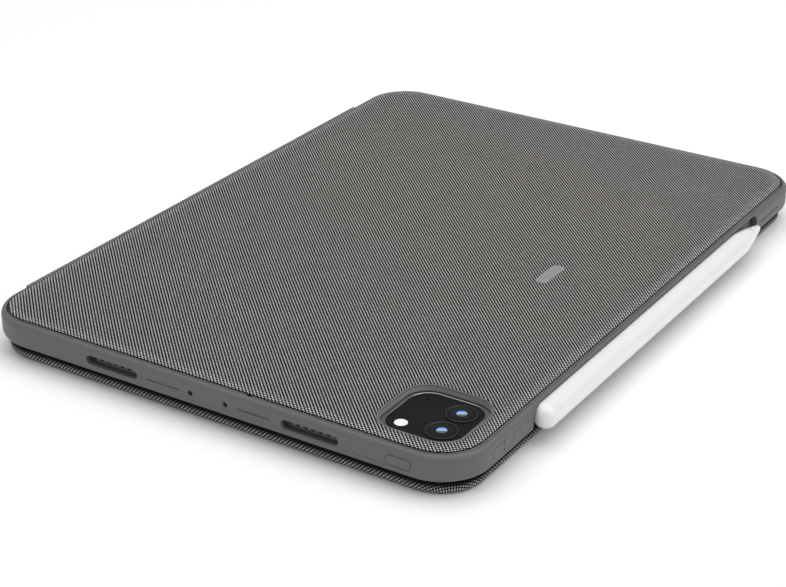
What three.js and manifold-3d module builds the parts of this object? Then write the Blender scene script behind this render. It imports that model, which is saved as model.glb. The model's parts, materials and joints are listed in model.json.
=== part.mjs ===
// Tablet keyboard case, shut, with the tablet and the stylus that it carries. Millimetres, +Z up.
// The origin is the centre of the keyboard deck's underside, the face that the case lies on.
// +X runs along the long side towards the charging port, and +Y towards the spine, where the case folds.
// The tablet lies face down above the deck, so the back of the case is uppermost.
import * as THREE from "three";
import { mergeVertices } from "three/addons/utils/BufferGeometryUtils.js";
import Module from "manifold-3d";

const wasm = await Module();
wasm.setup();

// ---------------------------------------------------------------- driving dimensions
const TABLET = { length: 247.6, width: 178.5, thickness: 5.9, corner: 14.8 };
const STYLUS = { length: 166, radius: 4.15, flat: 3.5, tip: 8.7, cone: 19, nose: 0.9 };
const GAP = 0.05; // between sheets that lie on each other
const DECK_TOP = 4.5;
const LIP_BOTTOM = 5.0; // the bumper's lip hangs just clear of the deck
const SCREEN_Z = 6.35; // the tablet's glass, face down
const TABLET_BACK = SCREEN_Z + TABLET.thickness;
const WALL = 2.2; // bumper's outer face, outside the tablet's edge
const WALL_CLEARANCE = 0.2;
const LIP = { reach: 1.6, top: SCREEN_Z - 0.1 };
const PLATE_TOP = 14.05; // rigid back and kickstand, under their cloth
const CLOTH_TOP = 14.7;
const LINER = { bottom: TABLET_BACK + GAP, top: TABLET_BACK + 0.2 };
const FLOOR = { bottom: 12.5, top: 12.95 };
const CREASE = { y: -15.8, z: PLATE_TOP, plateGap: 0.95, clothGap: 1.3 };
const CAMERA = { x: -103.2, y: -68.8, window: 29.1, windowCorner: 8.4, island: 26.2, islandCorner: 7.4 };
const ISLAND_TOP = 12.8;
// Holes in the short edges lie a little off their middle, towards the stylus.
const PORT_Z = 9.4;
const PORT_Y = -1.5;
const SOUND = { y: 37.6, pitch: 2.48 };
const KEY = { pitch: 16.5, gap: 2.0, rowPitch: 16.2, functionPitch: 11.5, rear: 80.5, top: 4.9 };
const TRACKPAD = { width: 100, depth: 58, y: -50 };
const SPINE = { halfLength: 100, radius: 0.7, lower: [92.4, 2.4], upper: [95.1, 9.0] };
const BAR = { inner: 91.8, waist: 93.4, outer: 94.15, bottom: 7.6, shoulder: 9.4, top: 10.9, magnet: 1.1 };
const MAGNET_X = 52; // middle of each of the spine's two magnets
const NOTCH = { from: -83.6, to: 84.6, top: 13.4, corner: 3 };
const BADGE = { x: -2.5, y: -53, length: 15, height: 4.6 };

const HALF_X = TABLET.length / 2;
const HALF_Y = TABLET.width / 2;

// ---------------------------------------------------------------- materials
const paint = (color, roughness, metalness = 0) =>
  new THREE.MeshStandardMaterial({ color, roughness, metalness });
const CLOTH = paint(0x6f6f70, 0.95);
const BUMPER = paint(0x67676a, 0.6);
const PLASTIC = paint(0x55565a, 0.55);
const KEYCAP = paint(0x3c3d40, 0.6);
const BOARD = paint(0x20402c, 0.5);
const FILM = paint(0xc9c9c4, 0.5);
const STEEL = paint(0x9a9b9e, 0.35, 1);
const GOLD = paint(0xc9a24b, 0.3, 1);
const ALUMINIUM = paint(0x6d6e72, 0.35, 1);
const GLASS = paint(0x0b0b0d, 0.08);
const WHITE = paint(0xf2f2f0, 0.3);
const SUEDE = paint(0x4c4c50, 1);

// ---------------------------------------------------------------- solids
// A closed three.js geometry as a manifold-3d solid.
function solidOf(geometry) {
  const bare = geometry.clone();
  bare.deleteAttribute("normal");
  bare.deleteAttribute("uv");
  const merged = mergeVertices(bare, 1e-4);
  return new wasm.Manifold(
    new wasm.Mesh({
      numProp: 3,
      vertProperties: new Float32Array(merged.attributes.position.array),
      triVerts: new Uint32Array(merged.index.array),
    }),
  );
}

function geometryOf(solid) {
  const { vertProperties, triVerts } = solid.getMesh();
  const geometry = new THREE.BufferGeometry();
  geometry.setAttribute("position", new THREE.BufferAttribute(vertProperties, 3));
  geometry.setIndex(new THREE.BufferAttribute(triVerts, 1));
  geometry.computeVertexNormals();
  return geometry;
}

const cut = (solid, ...tools) => tools.reduce((left, tool) => left.subtract(tool), solid);
const join = (first, ...rest) => rest.reduce((left, other) => left.add(other), first);

// A box between two corners.
function box(low, high) {
  const size = high.map((value, axis) => value - low[axis]);
  const centre = high.map((value, axis) => (value + low[axis]) / 2);
  return solidOf(new THREE.BoxGeometry(...size).translate(...centre));
}

// An outline extruded along an axis from one place to another. The outline's own two axes are
// Y and Z along X, X and Z along Y, and X and Y along Z.
function prism(outline, axis, from, to) {
  const geometry = new THREE.ExtrudeGeometry(outline, { depth: to - from, bevelEnabled: false });
  const turn = {
    x: [0, 0, 1, from, 1, 0, 0, 0, 0, 1, 0, 0, 0, 0, 0, 1],
    y: [1, 0, 0, 0, 0, 0, -1, to, 0, 1, 0, 0, 0, 0, 0, 1],
    z: [1, 0, 0, 0, 0, 1, 0, 0, 0, 0, 1, from, 0, 0, 0, 1],
  };
  geometry.applyMatrix4(new THREE.Matrix4().set(...turn[axis]));
  return solidOf(geometry);
}

// A rectangle with round corners, as a list of points that runs anticlockwise.
function roundedPoints(halfX, halfY, radius, steps = 8, x = 0, y = 0) {
  const points = [];
  const corners = [[1, 1], [-1, 1], [-1, -1], [1, -1]];
  corners.forEach(([sideX, sideY], quarter) => {
    for (let step = 0; step <= steps; step++) {
      const angle = ((quarter + step / steps) * Math.PI) / 2;
      points.push(
        new THREE.Vector2(
          x + sideX * (halfX - radius) + radius * Math.cos(angle),
          y + sideY * (halfY - radius) + radius * Math.sin(angle),
        ),
      );
    }
  });
  return points;
}

const rounded = (halfX, halfY, radius, x = 0, y = 0, steps = 4) =>
  new THREE.Shape(roundedPoints(halfX, halfY, radius, steps, x, y));
const slot = (length, height, x, y) => rounded(length / 2, height / 2, height / 2 - 0.001, x, y);
const disc = (radius, x, y) => rounded(radius, radius, radius - 0.001, x, y, 3);

// Closes a stack of equal loops into a surface: round on itself as a ring, or capped at both ends.
function skin(loops, ring) {
  const count = loops[0].length;
  const position = loops.flat().flatMap(([x, y, z]) => [x, y, z]);
  const index = [];
  const last = ring ? loops.length : loops.length - 1;
  for (let level = 0; level < last; level++) {
    const above = ((level + 1) % loops.length) * count;
    for (let i = 0; i < count; i++) {
      const j = (i + 1) % count;
      index.push(level * count + i, level * count + j, above + j);
      index.push(level * count + i, above + j, above + i);
    }
  }
  if (!ring) {
    const top = (loops.length - 1) * count;
    for (let i = 1; i < count - 1; i++) {
      index.push(0, i + 1, i);
      index.push(top, top + i, top + i + 1);
    }
  }
  const geometry = new THREE.BufferGeometry();
  geometry.setAttribute("position", new THREE.Float32BufferAttribute(position, 3));
  geometry.setIndex(index);
  return solidOf(geometry);
}

// The tablet's outline, moved out by an offset, at a height. Deck, back and bumper all follow it.
const tabletLoop = ([offset, z]) =>
  roundedPoints(HALF_X + offset, HALF_Y + offset, TABLET.corner + offset).map((p) => [p.x, p.y, z]);
const slab = (...levels) => skin(levels.map(tabletLoop), false);
const ringOf = (section) => skin(section.map(tabletLoop), true);

// Points of a quarter of an ellipse, as [offset, z], from one angle to another in degrees.
function quarter(centre, radii, from, to, steps = 3) {
  const points = [];
  for (let step = 0; step <= steps; step++) {
    const angle = THREE.MathUtils.degToRad(from + ((to - from) * step) / steps);
    points.push([centre[0] + radii[0] * Math.cos(angle), centre[1] + radii[1] * Math.sin(angle)]);
  }
  return points;
}

// A surface of revolution about a line along X. The profile is a list of [x, radius].
function turned(profile, y, z, segments = 24) {
  const points = profile.map(([x, radius]) => new THREE.Vector2(radius, x));
  const geometry = new THREE.LatheGeometry(points, segments);
  geometry.rotateZ(-Math.PI / 2).translate(0, y, z);
  const solid = solidOf(geometry);
  return solid.volume() < 0 ? solidOf(flipped(geometry)) : solid;
}

function flipped(geometry) {
  const copy = geometry.clone();
  const { array } = copy.index;
  for (let i = 0; i < array.length; i += 3) [array[i + 1], array[i + 2]] = [array[i + 2], array[i + 1]];
  return copy;
}

const object = new THREE.Group();
function piece(name, solid, material) {
  const mesh = new THREE.Mesh(geometryOf(solid), material);
  mesh.name = name;
  object.add(mesh);
}

const SIDES = [["left", -1], ["right", 1]];
const FAR = 200; // beyond every piece, for cutting tools

// ---------------------------------------------------------------- keyboard layout
// Each row's keys from left to right, in units of the key pitch. Every row is 14 units wide.
const ones = (count) => Array(count).fill(1);
const ROWS = {
  function_keys: [ones(14)],
  number_keys: [[0.75, ...ones(12), 1.25]],
  upper_letter_keys: [[1.25, ...ones(12), 0.75]],
  home_keys: [[1.5, ...ones(11), 1.5]],
  lower_letter_keys: [[2, ...ones(10), 2]],
};
const BOTTOM_ROW = [
  ["left_modifier_keys", [1, 1, 1, 1.25]],
  ["space_bar", [4.5]],
  ["right_modifier_keys", [1.25, 1]],
  ["arrow_keys", [1, "split", 1]],
];
const FIELD_HALF = 7 * KEY.pitch;
const FIELD_FRONT = KEY.rear - KEY.functionPitch - 5 * KEY.rowPitch;

// A group of keys as rectangles {x, y, width, depth}, starting at the left edge, in one row.
function keysInRow(units, left, rear, pitch) {
  const keys = [];
  let x = left;
  for (const unit of units) {
    const width = (unit === "split" ? 1 : unit) * KEY.pitch;
    const key = { x: x + width / 2, y: rear - pitch / 2, width: width - KEY.gap, depth: pitch - KEY.gap };
    if (unit === "split") {
      // Up and down share one place, as two keys of half the depth.
      const depth = key.depth / 2 - 0.4;
      const shift = key.depth / 4 + 0.2;
      keys.push({ ...key, depth, y: key.y + shift }, { ...key, depth, y: key.y - shift });
    } else keys.push(key);
    x += width;
  }
  return keys;
}

function keyGroups() {
  const groups = [];
  let rear = KEY.rear;
  for (const [name, [units]] of Object.entries(ROWS)) {
    const pitch = name === "function_keys" ? KEY.functionPitch : KEY.rowPitch;
    groups.push([name, keysInRow(units, -FIELD_HALF, rear, pitch)]);
    rear -= pitch;
  }
  let left = -FIELD_HALF;
  for (const [name, units] of BOTTOM_ROW) {
    groups.push([name, keysInRow(units, left, rear, KEY.rowPitch)]);
    left += units.reduce((sum, unit) => sum + (unit === "split" ? 1 : unit), 0) * KEY.pitch;
  }
  return groups;
}

function rectangle({ x, y, width, depth }, grow, low, high) {
  const halfX = width / 2 + grow;
  const halfY = depth / 2 + grow;
  return box([x - halfX, y - halfY, low], [x + halfX, y + halfY, high]);
}

// ---------------------------------------------------------------- keyboard deck
const DECK = { skin: 1.3, floor: 0.6, shellFloor: 1.15, shellTop: 2.9 };
const KEY_PLATE = { bottom: 2.95, top: 3.75, footBottom: 2.5, footTop: 2.85 };
const BOARDS_Z = DECK.shellFloor + GAP;

function buildDeck(groups) {
  const inside = -DECK.skin;
  const outer = slab(
    ...quarter([-1.8, 1.8], [1.8, 1.8], -90, 0),
    ...quarter([-1.2, DECK_TOP - 1.2], [1.2, 1.2], 0, 90),
  );
  const hollow = slab([inside, DECK.floor], [inside, DECK_TOP + 1]);
  const tongue = box([-SPINE.halfLength, HALF_Y - 1, 1.7], [SPINE.halfLength, SPINE.lower[0] - 1.1, 3.1]);
  piece("deck_outer_fabric", join(outer, tongue).subtract(hollow), CLOTH);

  const shell = inside - 0.1;
  const shellWall = shell - 1.8;
  const tray = slab([shell, DECK.floor + GAP], [shell, DECK.shellTop]);
  piece("deck_shell", tray.subtract(slab([shellWall, DECK.shellFloor], [shellWall, DECK_TOP])), PLASTIC);

  const field = { low: [-FIELD_HALF + 1, FIELD_FRONT], high: [FIELD_HALF - 1, KEY.rear] };
  piece("backlight_sheet", box([...field.low, BOARDS_Z], [...field.high, BOARDS_Z + 0.2]), FILM);
  piece("switch_sheet", box([...field.low, BOARDS_Z + 0.23], [...field.high, BOARDS_Z + 0.43]), BOARD);
  piece("controller_board", box([-112, -74, BOARDS_Z], [-62, -34, BOARDS_Z + 1]), BOARD);
  for (const [side, sign] of SIDES) {
    const magnet = box([sign * 86 - 12, -83.5, BOARDS_Z], [sign * 86 + 12, -78.5, 2.85]);
    piece(`deck_magnet_${side}`, magnet, STEEL);
  }

  const windows = groups.flatMap(([, keys]) =>
    keys.map((key) => rectangle(key, 0.35, KEY_PLATE.footTop, DECK_TOP)));
  const padHole = rectangle({ x: 0, ...TRACKPAD }, 0.35, KEY_PLATE.footTop, DECK_TOP + 1);
  const { bottom: plateBottom, top: plateTop } = KEY_PLATE;
  piece("deck_top_plate", cut(slab([shell, plateBottom], [shell, plateTop]), ...windows, padHole), PLASTIC);

  const wellDepth = KEY.rear - FIELD_FRONT;
  const wellOutline = rounded(FIELD_HALF + 0.3, wellDepth / 2 + 0.3, 1.5, 0, KEY.rear - wellDepth / 2);
  const topCloth = slab([inside - GAP, plateTop + GAP], [inside - GAP, DECK_TOP]);
  piece("deck_top_fabric", cut(topCloth, prism(wellOutline, "z", plateTop, DECK_TOP + 1), padHole), CLOTH);
}

function buildKeys(groups) {
  const { footBottom, footTop } = KEY_PLATE;
  const footDepth = 5;
  for (const [name, keys] of groups) {
    const caps = keys.map(({ x, y, width, depth }) =>
      prism(rounded(width / 2, depth / 2, 1.2, x, y, 1), "z", footBottom, KEY.top),
    );
    const from = keys[0].x;
    const to = keys[keys.length - 1].x;
    // The foot is the carrier strip under the top plate that the caps of one row stand on.
    const y = keys[0].y;
    const foot = box([from - 2, y - footDepth / 2, footBottom], [to + 2, y + footDepth / 2, footTop]);
    const split = keys.length > 1 && keys.some((key) => Math.abs(key.y - y) > 1);
    const bridge = keys.map((key) => {
      const [front, back] = [Math.min(key.y, y), Math.max(key.y, y)];
      return box([key.x - 3, front - 1, footBottom], [key.x + 3, back + 1, footTop]);
    });
    piece(name, split ? join(foot, ...caps, ...bridge) : join(foot, ...caps), KEYCAP);
  }
}

function buildTrackpad() {
  const { width, depth, y } = TRACKPAD;
  const plate = rounded(width / 2, depth / 2, 1.5, 0, y);
  piece("trackpad", prism(plate, "z", 3.45, DECK_TOP - 0.05), PLASTIC);
  piece("trackpad_board", box([-46, y - 26, 2.1], [46, y + 26, 2.7]), BOARD);
  piece("trackpad_switch", prism(disc(3.5, 0, y - 18), "z", 2.75, 3.15), STEEL);
}

// ---------------------------------------------------------------- spine
const CONTACT = { at: [-5, 0, 5], half: 10.6, depth: 1.5, z: (BAR.bottom + BAR.top) / 2 };

// The woven strip between two folds: its section is a flat bar with round ends, one on each fold's axis.
function buildSpine() {
  const [lowY, lowZ] = SPINE.lower;
  const [highY, highZ] = SPINE.upper;
  const lean = Math.atan2(highZ - lowZ, highY - lowY);
  const section = new THREE.Shape();
  section.absarc(highY, highZ, SPINE.radius, lean - Math.PI / 2, lean + Math.PI / 2, false);
  section.absarc(lowY, lowZ, SPINE.radius, lean + Math.PI / 2, lean + (3 * Math.PI) / 2, false);
  const alongSpine = (shape) => prism(shape, "x", -SPINE.halfLength, SPINE.halfLength);
  piece("spine_strip", alongSpine(new THREE.Shape(section.getPoints(5))), CLOTH);

  const { inner, waist, outer, bottom, shoulder, top } = BAR;
  const middle = (bottom + top) / 2;
  const outline = [[inner, bottom], [waist, bottom], [outer, shoulder], [outer, top], [inner, top]];
  const barSection = new THREE.Shape(outline.map(([y, z]) => new THREE.Vector2(y, z)));
  const magnet = (sign, grow) =>
    box(
      [sign * MAGNET_X - 24 - grow, inner - grow, middle - 1 - grow],
      [sign * MAGNET_X + 24 + grow, inner + BAR.magnet + grow, middle + 1 + grow],
    );
  const shifted = (solid) => solid.translate([0, 0.15, 0]);
  const pockets = SIDES.map(([, sign]) => magnet(sign, 0.15));
  piece("spine_bar", cut(alongSpine(barSection), ...pockets), PLASTIC);
  for (const [side, sign] of SIDES) piece(`spine_magnet_${side}`, shifted(magnet(sign, -0.05)), STEEL);

  const blockFace = inner - 0.75;
  piece("connector_block", prism(rounded(9, 0.9, 0.85, 0, middle), "y", blockFace, inner - GAP), PLASTIC);
  CONTACT.at.forEach((x, number) => {
    const pin = prism(disc(0.6, x, middle), "y", blockFace - 0.35, blockFace - GAP);
    piece(`contact_pin_${number + 1}`, pin, GOLD);
  });
}

// ---------------------------------------------------------------- bumper and back
const POWER = { y: -70.1, length: 9, height: 3.5 };
const VOLUME = { up: -103.2, down: -91.3, length: 10.4, height: 4 };
const PAD_GAP = 0.18;
const FACE_X = HALF_X + WALL;
const FACE_Y = HALF_Y + WALL;

function buildBumper() {
  const section = [
    ...quarter([-LIP.reach + 0.4, LIP_BOTTOM + 0.4], [0.4, 0.4], 180, 270, 1),
    ...quarter([WALL - 1.8, LIP_BOTTOM + 2.6], [1.8, 2.6], -90, 0),
    ...quarter([WALL - 2, PLATE_TOP - 2], [2, 2], 0, 90, 4),
    [WALL_CLEARANCE, PLATE_TOP],
    [WALL_CLEARANCE, LIP.top],
    [-LIP.reach, LIP.top],
  ];
  const throughX = (outline, sign, depth) => {
    const [from, to] = [sign * (FACE_X - depth), sign * (FACE_X + 1)];
    return prism(outline, "x", Math.min(from, to), Math.max(from, to));
  };
  const throughFront = (outline, depth) => prism(outline, "y", -FACE_Y - 1, -FACE_Y + depth);
  const wall = WALL - WALL_CLEARANCE + 0.2;

  const cuts = [];
  for (const [, sign] of SIDES) {
    for (const [, half] of SIDES) {
      cuts.push(throughX(slot(20.4, 3, PORT_Y + half * SOUND.y, PORT_Z), sign, wall));
    }
  }
  for (const [, half] of SIDES) {
    cuts.push(throughX(disc(0.85, PORT_Y + half * 6.6, PORT_Z), -1, wall));
    cuts.push(throughX(slot(12.1, 0.5, PORT_Y + half * 17.3, PORT_Z), -1, 0.35));
  }
  cuts.push(throughX(slot(13, 5.4, PORT_Y, PORT_Z - 0.1), 1, wall));
  cuts.push(throughX(slot(POWER.length, POWER.height, POWER.y, PORT_Z), -1, wall + 1));
  for (const x of [VOLUME.up, VOLUME.down])
    cuts.push(throughFront(slot(VOLUME.length, VOLUME.height, x, PORT_Z), wall + 1));
  cuts.push(throughFront(slot(16, 0.5, 96, PORT_Z - 0.3), 0.35));

  // The stylus lies against the tablet's edge, so wall and lip stop at a notch as long as it is.
  const middle = (NOTCH.from + NOTCH.to) / 2;
  const half = (NOTCH.to - NOTCH.from) / 2;
  const tall = NOTCH.top + 10;
  const notch = rounded(half, tall / 2, NOTCH.corner, middle, NOTCH.top - tall / 2);
  cuts.push(prism(notch, "y", -FACE_Y - 1, -HALF_Y + 3));

  // Pocket for the spine's connector, and recesses for the steel plates that its magnets hold on to.
  const pocket = rounded(CONTACT.half, 1.25, 1.2, 0, CONTACT.z);
  cuts.push(prism(pocket, "y", FACE_Y - CONTACT.depth, FACE_Y + 1));
  const besideMagnet = (sign, halfX, low, high, halfZ) =>
    box(
      [sign * MAGNET_X - halfX, HALF_Y + low, CONTACT.z - halfZ],
      [sign * MAGNET_X + halfX, HALF_Y + high, CONTACT.z + halfZ],
    );
  for (const [, sign] of SIDES) cuts.push(besideMagnet(sign, 25, -0.1, 1.35, 1.2));
  piece("bumper_frame", cut(ringOf(section), ...cuts), BUMPER);
  for (const [side, sign] of SIDES)
    piece(`keeper_plate_${side}`, besideMagnet(sign, 24.8, 0.3, 1.2, 1), STEEL);
  const floor = FACE_Y - CONTACT.depth + GAP;
  const contacts = CONTACT.at.map((x) => prism(disc(0.9, x, CONTACT.z), "y", floor, floor + 0.3));
  const carrier = prism(rounded(CONTACT.half - 0.2, 1.05, 1, 0, CONTACT.z), "y", floor, floor + 0.2);
  piece("case_contacts", join(carrier, ...contacts), GOLD);
}

// Pads in the bumper's windows, over the tablet's own buttons.
// Each is a piece of the rim's own curved wall.
function buildButtons() {
  const [inner, outer] = [0.6, WALL + 0.12];
  const [low, high] = [PORT_Z - 3, PORT_Z + 3];
  const wall = slab([outer, low], [outer, high]).subtract(slab([inner, low - 1], [inner, high + 1]));
  const pad = (length, height, at) => slot(length - 2 * PAD_GAP, height - 2 * PAD_GAP, at, PORT_Z);
  const power = prism(pad(POWER.length, POWER.height, POWER.y), "x", -FACE_X - 1, -FACE_X + 4);
  piece("power_button", wall.intersect(power), BUMPER);
  for (const side of ["up", "down"]) {
    const volume = prism(pad(VOLUME.length, VOLUME.height, VOLUME[side]), "y", -FACE_Y - 1, -FACE_Y + 4);
    piece(`volume_${side}_button`, wall.intersect(volume), BUMPER);
  }
}

const cameraOutline = (size, corner) => rounded(size / 2, size / 2, corner, CAMERA.x, CAMERA.y, 6);

function buildBack() {
  const { window, windowCorner } = CAMERA;
  const hole = prism(cameraOutline(window, windowCorner), "z", TABLET_BACK, CLOTH_TOP + 1);
  piece("case_liner", slab([-0.1, LINER.bottom], [-0.1, LINER.top]).subtract(hole), SUEDE);

  // The rigid back: a thin floor under the kickstand, full height ahead of the crease.
  const recess = box([-FAR, CREASE.y - CREASE.plateGap, FLOOR.top], [FAR, FAR, 20]);
  const collar = prism(cameraOutline(window + 1, windowCorner + 0.5), "z", FLOOR.top, CLOTH_TOP - 0.1);
  const slots = SIDES.map(([, sign]) => hingeSlot(sign, -1));
  const plate = join(slab([0, FLOOR.bottom], [0, PLATE_TOP]).subtract(recess), collar);
  piece("back_panel", cut(plate, hole, ...slots), PLASTIC);

  const cloth = slab([0, PLATE_TOP + GAP], ...quarter([-0.6, CLOTH_TOP - 0.5], [0.6, 0.5], 0, 90));
  const clothHole = prism(cameraOutline(window + 1.2, windowCorner + 0.6), "z", PLATE_TOP, CLOTH_TOP + 1);
  const behind = box([-FAR, CREASE.y - CREASE.clothGap, 12], [FAR, FAR, 20]);
  const ahead = box([-FAR, -FAR, 12], [FAR, CREASE.y + CREASE.clothGap, 20]);
  piece("upper_back_fabric", cut(cloth, behind, clothHole), CLOTH);
  piece("kickstand_fabric", cut(cloth, ahead), CLOTH);
  const badge = slot(BADGE.length, BADGE.height, BADGE.x, BADGE.y);
  piece("back_badge", prism(badge, "z", CLOTH_TOP + 0.02, CLOTH_TOP + 0.17), FILM);

  const aheadOfPlate = box([-FAR, -FAR, 12], [FAR, CREASE.y + CREASE.plateGap, 20]);
  const lift = slab([0, FLOOR.top + 0.15], [0, PLATE_TOP]);
  const leafSlots = SIDES.map(([, sign]) => hingeSlot(sign, 1));
  piece("kickstand_plate", cut(lift, aheadOfPlate, ...leafSlots), PLASTIC);
}

// ---------------------------------------------------------------- kickstand hinges
const HINGE = {
  x: 92, half: 12, barrel: 0.6, bore: 0.42, pin: 0.37, leaf: 6, knuckle: 6, low: -0.55, high: -0.05,
};

// The pocket that a leaf lies in: side -1 is in the back panel, side +1 in the kickstand.
function hingeSlot(sign, side) {
  const x = sign * HINGE.x;
  const near = CREASE.y + side * 0.5;
  const far = CREASE.y + side * (HINGE.leaf + 0.3);
  return box(
    [x - HINGE.half - 0.2, Math.min(near, far), CREASE.z + HINGE.low - 0.1],
    [x + HINGE.half + 0.2, Math.max(near, far), PLATE_TOP + 0.02],
  );
}

function buildHinges() {
  const { half, barrel, bore, pin, leaf, knuckle } = HINGE;
  const tube = (from, to, radius) =>
    turned([[from, 0], [from, radius], [to, radius], [to, 0]], CREASE.y, CREASE.z, 16);
  const flat = (from, to, low, high) =>
    box([from, CREASE.y + low, CREASE.z + HINGE.low], [to, CREASE.y + high, CREASE.z + HINGE.high]);
  for (const [side, sign] of SIDES) {
    const x = sign * HINGE.x;
    const hole = tube(x - half - 1, x + half + 1, bore);
    const fixed = join(
      flat(x - half, x + half, -leaf, -1),
      flat(x - knuckle, x + knuckle, -1.5, 0),
      tube(x - knuckle, x + knuckle, barrel),
    );
    const ends = SIDES.map(([, end]) => [x + end * (knuckle + 0.15), x + end * half].sort((a, b) => a - b));
    const moving = join(
      flat(x - half, x + half, 1, leaf),
      ...ends.map(([from, to]) => flat(from, to, 0, 1.5)),
      ...ends.map(([from, to]) => tube(from, to, barrel)),
    );
    piece(`hinge_leaf_fixed_${side}`, fixed.subtract(hole), STEEL);
    piece(`hinge_leaf_moving_${side}`, moving.subtract(hole), STEEL);
    piece(`hinge_pin_${side}`, tube(x - half, x + half, pin), STEEL);
  }
}

// ---------------------------------------------------------------- tablet
function buildTablet() {
  const glassInset = 0.45;
  const glassTop = SCREEN_Z + 0.7;
  const body = slab(
    ...quarter([-0.5, SCREEN_Z + 0.5], [0.5, 0.5], -90, 0, 2),
    ...quarter([-0.5, TABLET_BACK - 0.5], [0.5, 0.5], 0, 90, 2),
  );
  const seat = slab([-glassInset, 0], [-glassInset, glassTop + GAP]);
  // Each short edge has two rows of round sound holes behind the bumper's slots.
  const holes = [];
  for (const [, sign] of SIDES)
    for (const [, half] of SIDES)
      for (let n = -3.5; n <= 3.5; n++) {
        const sound = disc(0.75, PORT_Y + half * SOUND.y + n * SOUND.pitch, PORT_Z + 0.1);
        holes.push(prism(sound, "x", sign * HALF_X - 0.8, sign * HALF_X + 0.8));
      }
  holes.push(prism(slot(8.6, 2.9, PORT_Y, PORT_Z - 0.1), "x", HALF_X - 2, HALF_X + 1));
  piece("tablet_body", cut(body, seat, ...holes), ALUMINIUM);
  piece("tablet_screen", slab([-glassInset - GAP, SCREEN_Z], [-glassInset - GAP, glassTop]), GLASS);

  const { x, y, island, islandCorner } = CAMERA;
  const lens = { radius: 5.1, x: 5.75, y: -5.7, base: ISLAND_TOP - 0.3, top: ISLAND_TOP + 0.4 };
  const flash = { radius: 2.1, x: -7.8, y: 7.1 };
  const depth = { radius: 3, x: 0.9, y: 7.4 };
  const round = (at, grow, low, high) => prism(disc(at.radius + grow, x + at.x, y + at.y), "z", low, high);
  const lenses = [{ ...lens, x: -lens.x }, lens];
  const plateau = prism(cameraOutline(island, islandCorner), "z", TABLET_BACK + GAP, ISLAND_TOP);
  const seats = [...lenses, flash, depth].map((at) => round(at, GAP, lens.base - GAP, lens.top));
  piece("camera_island", cut(plateau, ...seats), GLASS);
  lenses.forEach((at, number) =>
    piece(`camera_lens_${number + 1}`, round(at, 0, lens.base, lens.top), GLASS),
  );
  piece("camera_flash", round(flash, 0, lens.base, ISLAND_TOP), WHITE);
  piece("depth_sensor", round(depth, 0, lens.base, ISLAND_TOP), GLASS);
}

// ---------------------------------------------------------------- stylus
function buildStylus() {
  const { length, radius, flat, tip, cone, nose } = STYLUS;
  const y = -HALF_Y - flat - GAP;
  const z = TABLET_BACK - TABLET.thickness / 2;
  const start = -82.9;
  const end = start + length;
  const dome = [];
  for (let step = 0; step <= 6; step++) {
    const angle = (step * Math.PI) / 12;
    dome.push([start + radius * 0.85 * (1 - Math.cos(angle)), radius * Math.sin(angle)]);
  }
  // The cone swells a little before it narrows to the round nose.
  const along = (share) => end - cone + share * cone;
  const radiusAt = (share) => radius - (radius - nose) * share ** 1.35;
  const split = 1 - tip / cone;
  const barrelCone = [0, 0.2, 0.4, split].map((share) => [along(share), radiusAt(share)]);
  const noseArc = [0.5, 0.85, 1].map((s) => [end - 0.8 * (1 - s), nose * Math.sqrt(1 - s ** 2)]);
  const tipCone = [0.75, 0.95].map((share) => [along(share), radiusAt(share)]);
  const half = box([-FAR, -FAR, -FAR], [FAR, -HALF_Y - GAP, FAR]);
  const barrel = turned([...dome, ...barrelCone, [along(split), 0]], y, z);
  piece("stylus_barrel", barrel.intersect(half), WHITE);
  const seam = along(split) + 0.15;
  const tipProfile = [[seam, 0], [seam, radiusAt(split)], ...tipCone, ...noseArc];
  piece("stylus_tip", turned(tipProfile, y, z), WHITE);
}

const groups = keyGroups();
buildDeck(groups);
buildKeys(groups);
buildTrackpad();
buildSpine();
buildBumper();
buildButtons();
buildBack();
buildHinges();
buildTablet();
buildStylus();

export default object;
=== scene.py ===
"""Looks of a shut tablet keyboard case with its tablet and stylus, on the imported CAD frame."""

import json
import logging
import math
from dataclasses import dataclass
from enum import Enum
from typing import Callable, Sequence

import bmesh
import bpy
import numpy as np
from mathutils import Matrix, Vector

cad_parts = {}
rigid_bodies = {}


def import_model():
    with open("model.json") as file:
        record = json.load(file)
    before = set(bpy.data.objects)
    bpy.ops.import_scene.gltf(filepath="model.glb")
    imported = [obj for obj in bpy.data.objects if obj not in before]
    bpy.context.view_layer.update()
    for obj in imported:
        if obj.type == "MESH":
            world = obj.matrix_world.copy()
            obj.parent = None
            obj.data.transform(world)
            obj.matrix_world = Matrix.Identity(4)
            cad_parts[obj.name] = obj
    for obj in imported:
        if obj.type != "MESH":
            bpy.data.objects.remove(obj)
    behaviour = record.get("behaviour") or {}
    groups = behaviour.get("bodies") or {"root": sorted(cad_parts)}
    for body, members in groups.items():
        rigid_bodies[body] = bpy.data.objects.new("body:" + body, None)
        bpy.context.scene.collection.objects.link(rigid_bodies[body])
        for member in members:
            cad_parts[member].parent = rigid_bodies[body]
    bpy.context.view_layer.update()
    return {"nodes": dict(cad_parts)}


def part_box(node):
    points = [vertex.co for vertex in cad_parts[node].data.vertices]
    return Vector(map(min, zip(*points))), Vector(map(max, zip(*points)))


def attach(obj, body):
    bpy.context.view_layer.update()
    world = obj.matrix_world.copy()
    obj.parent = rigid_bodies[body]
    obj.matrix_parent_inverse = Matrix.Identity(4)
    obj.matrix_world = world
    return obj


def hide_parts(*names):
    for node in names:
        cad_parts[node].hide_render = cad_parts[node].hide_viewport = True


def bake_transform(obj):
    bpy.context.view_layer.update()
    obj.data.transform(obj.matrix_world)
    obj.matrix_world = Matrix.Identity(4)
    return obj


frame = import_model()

LOG = logging.getLogger("keyboard_case")
Point = tuple[float, float, float]
Section = list[tuple[float, float]]
SIDES = (("left", -1), ("right", 1))


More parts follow.
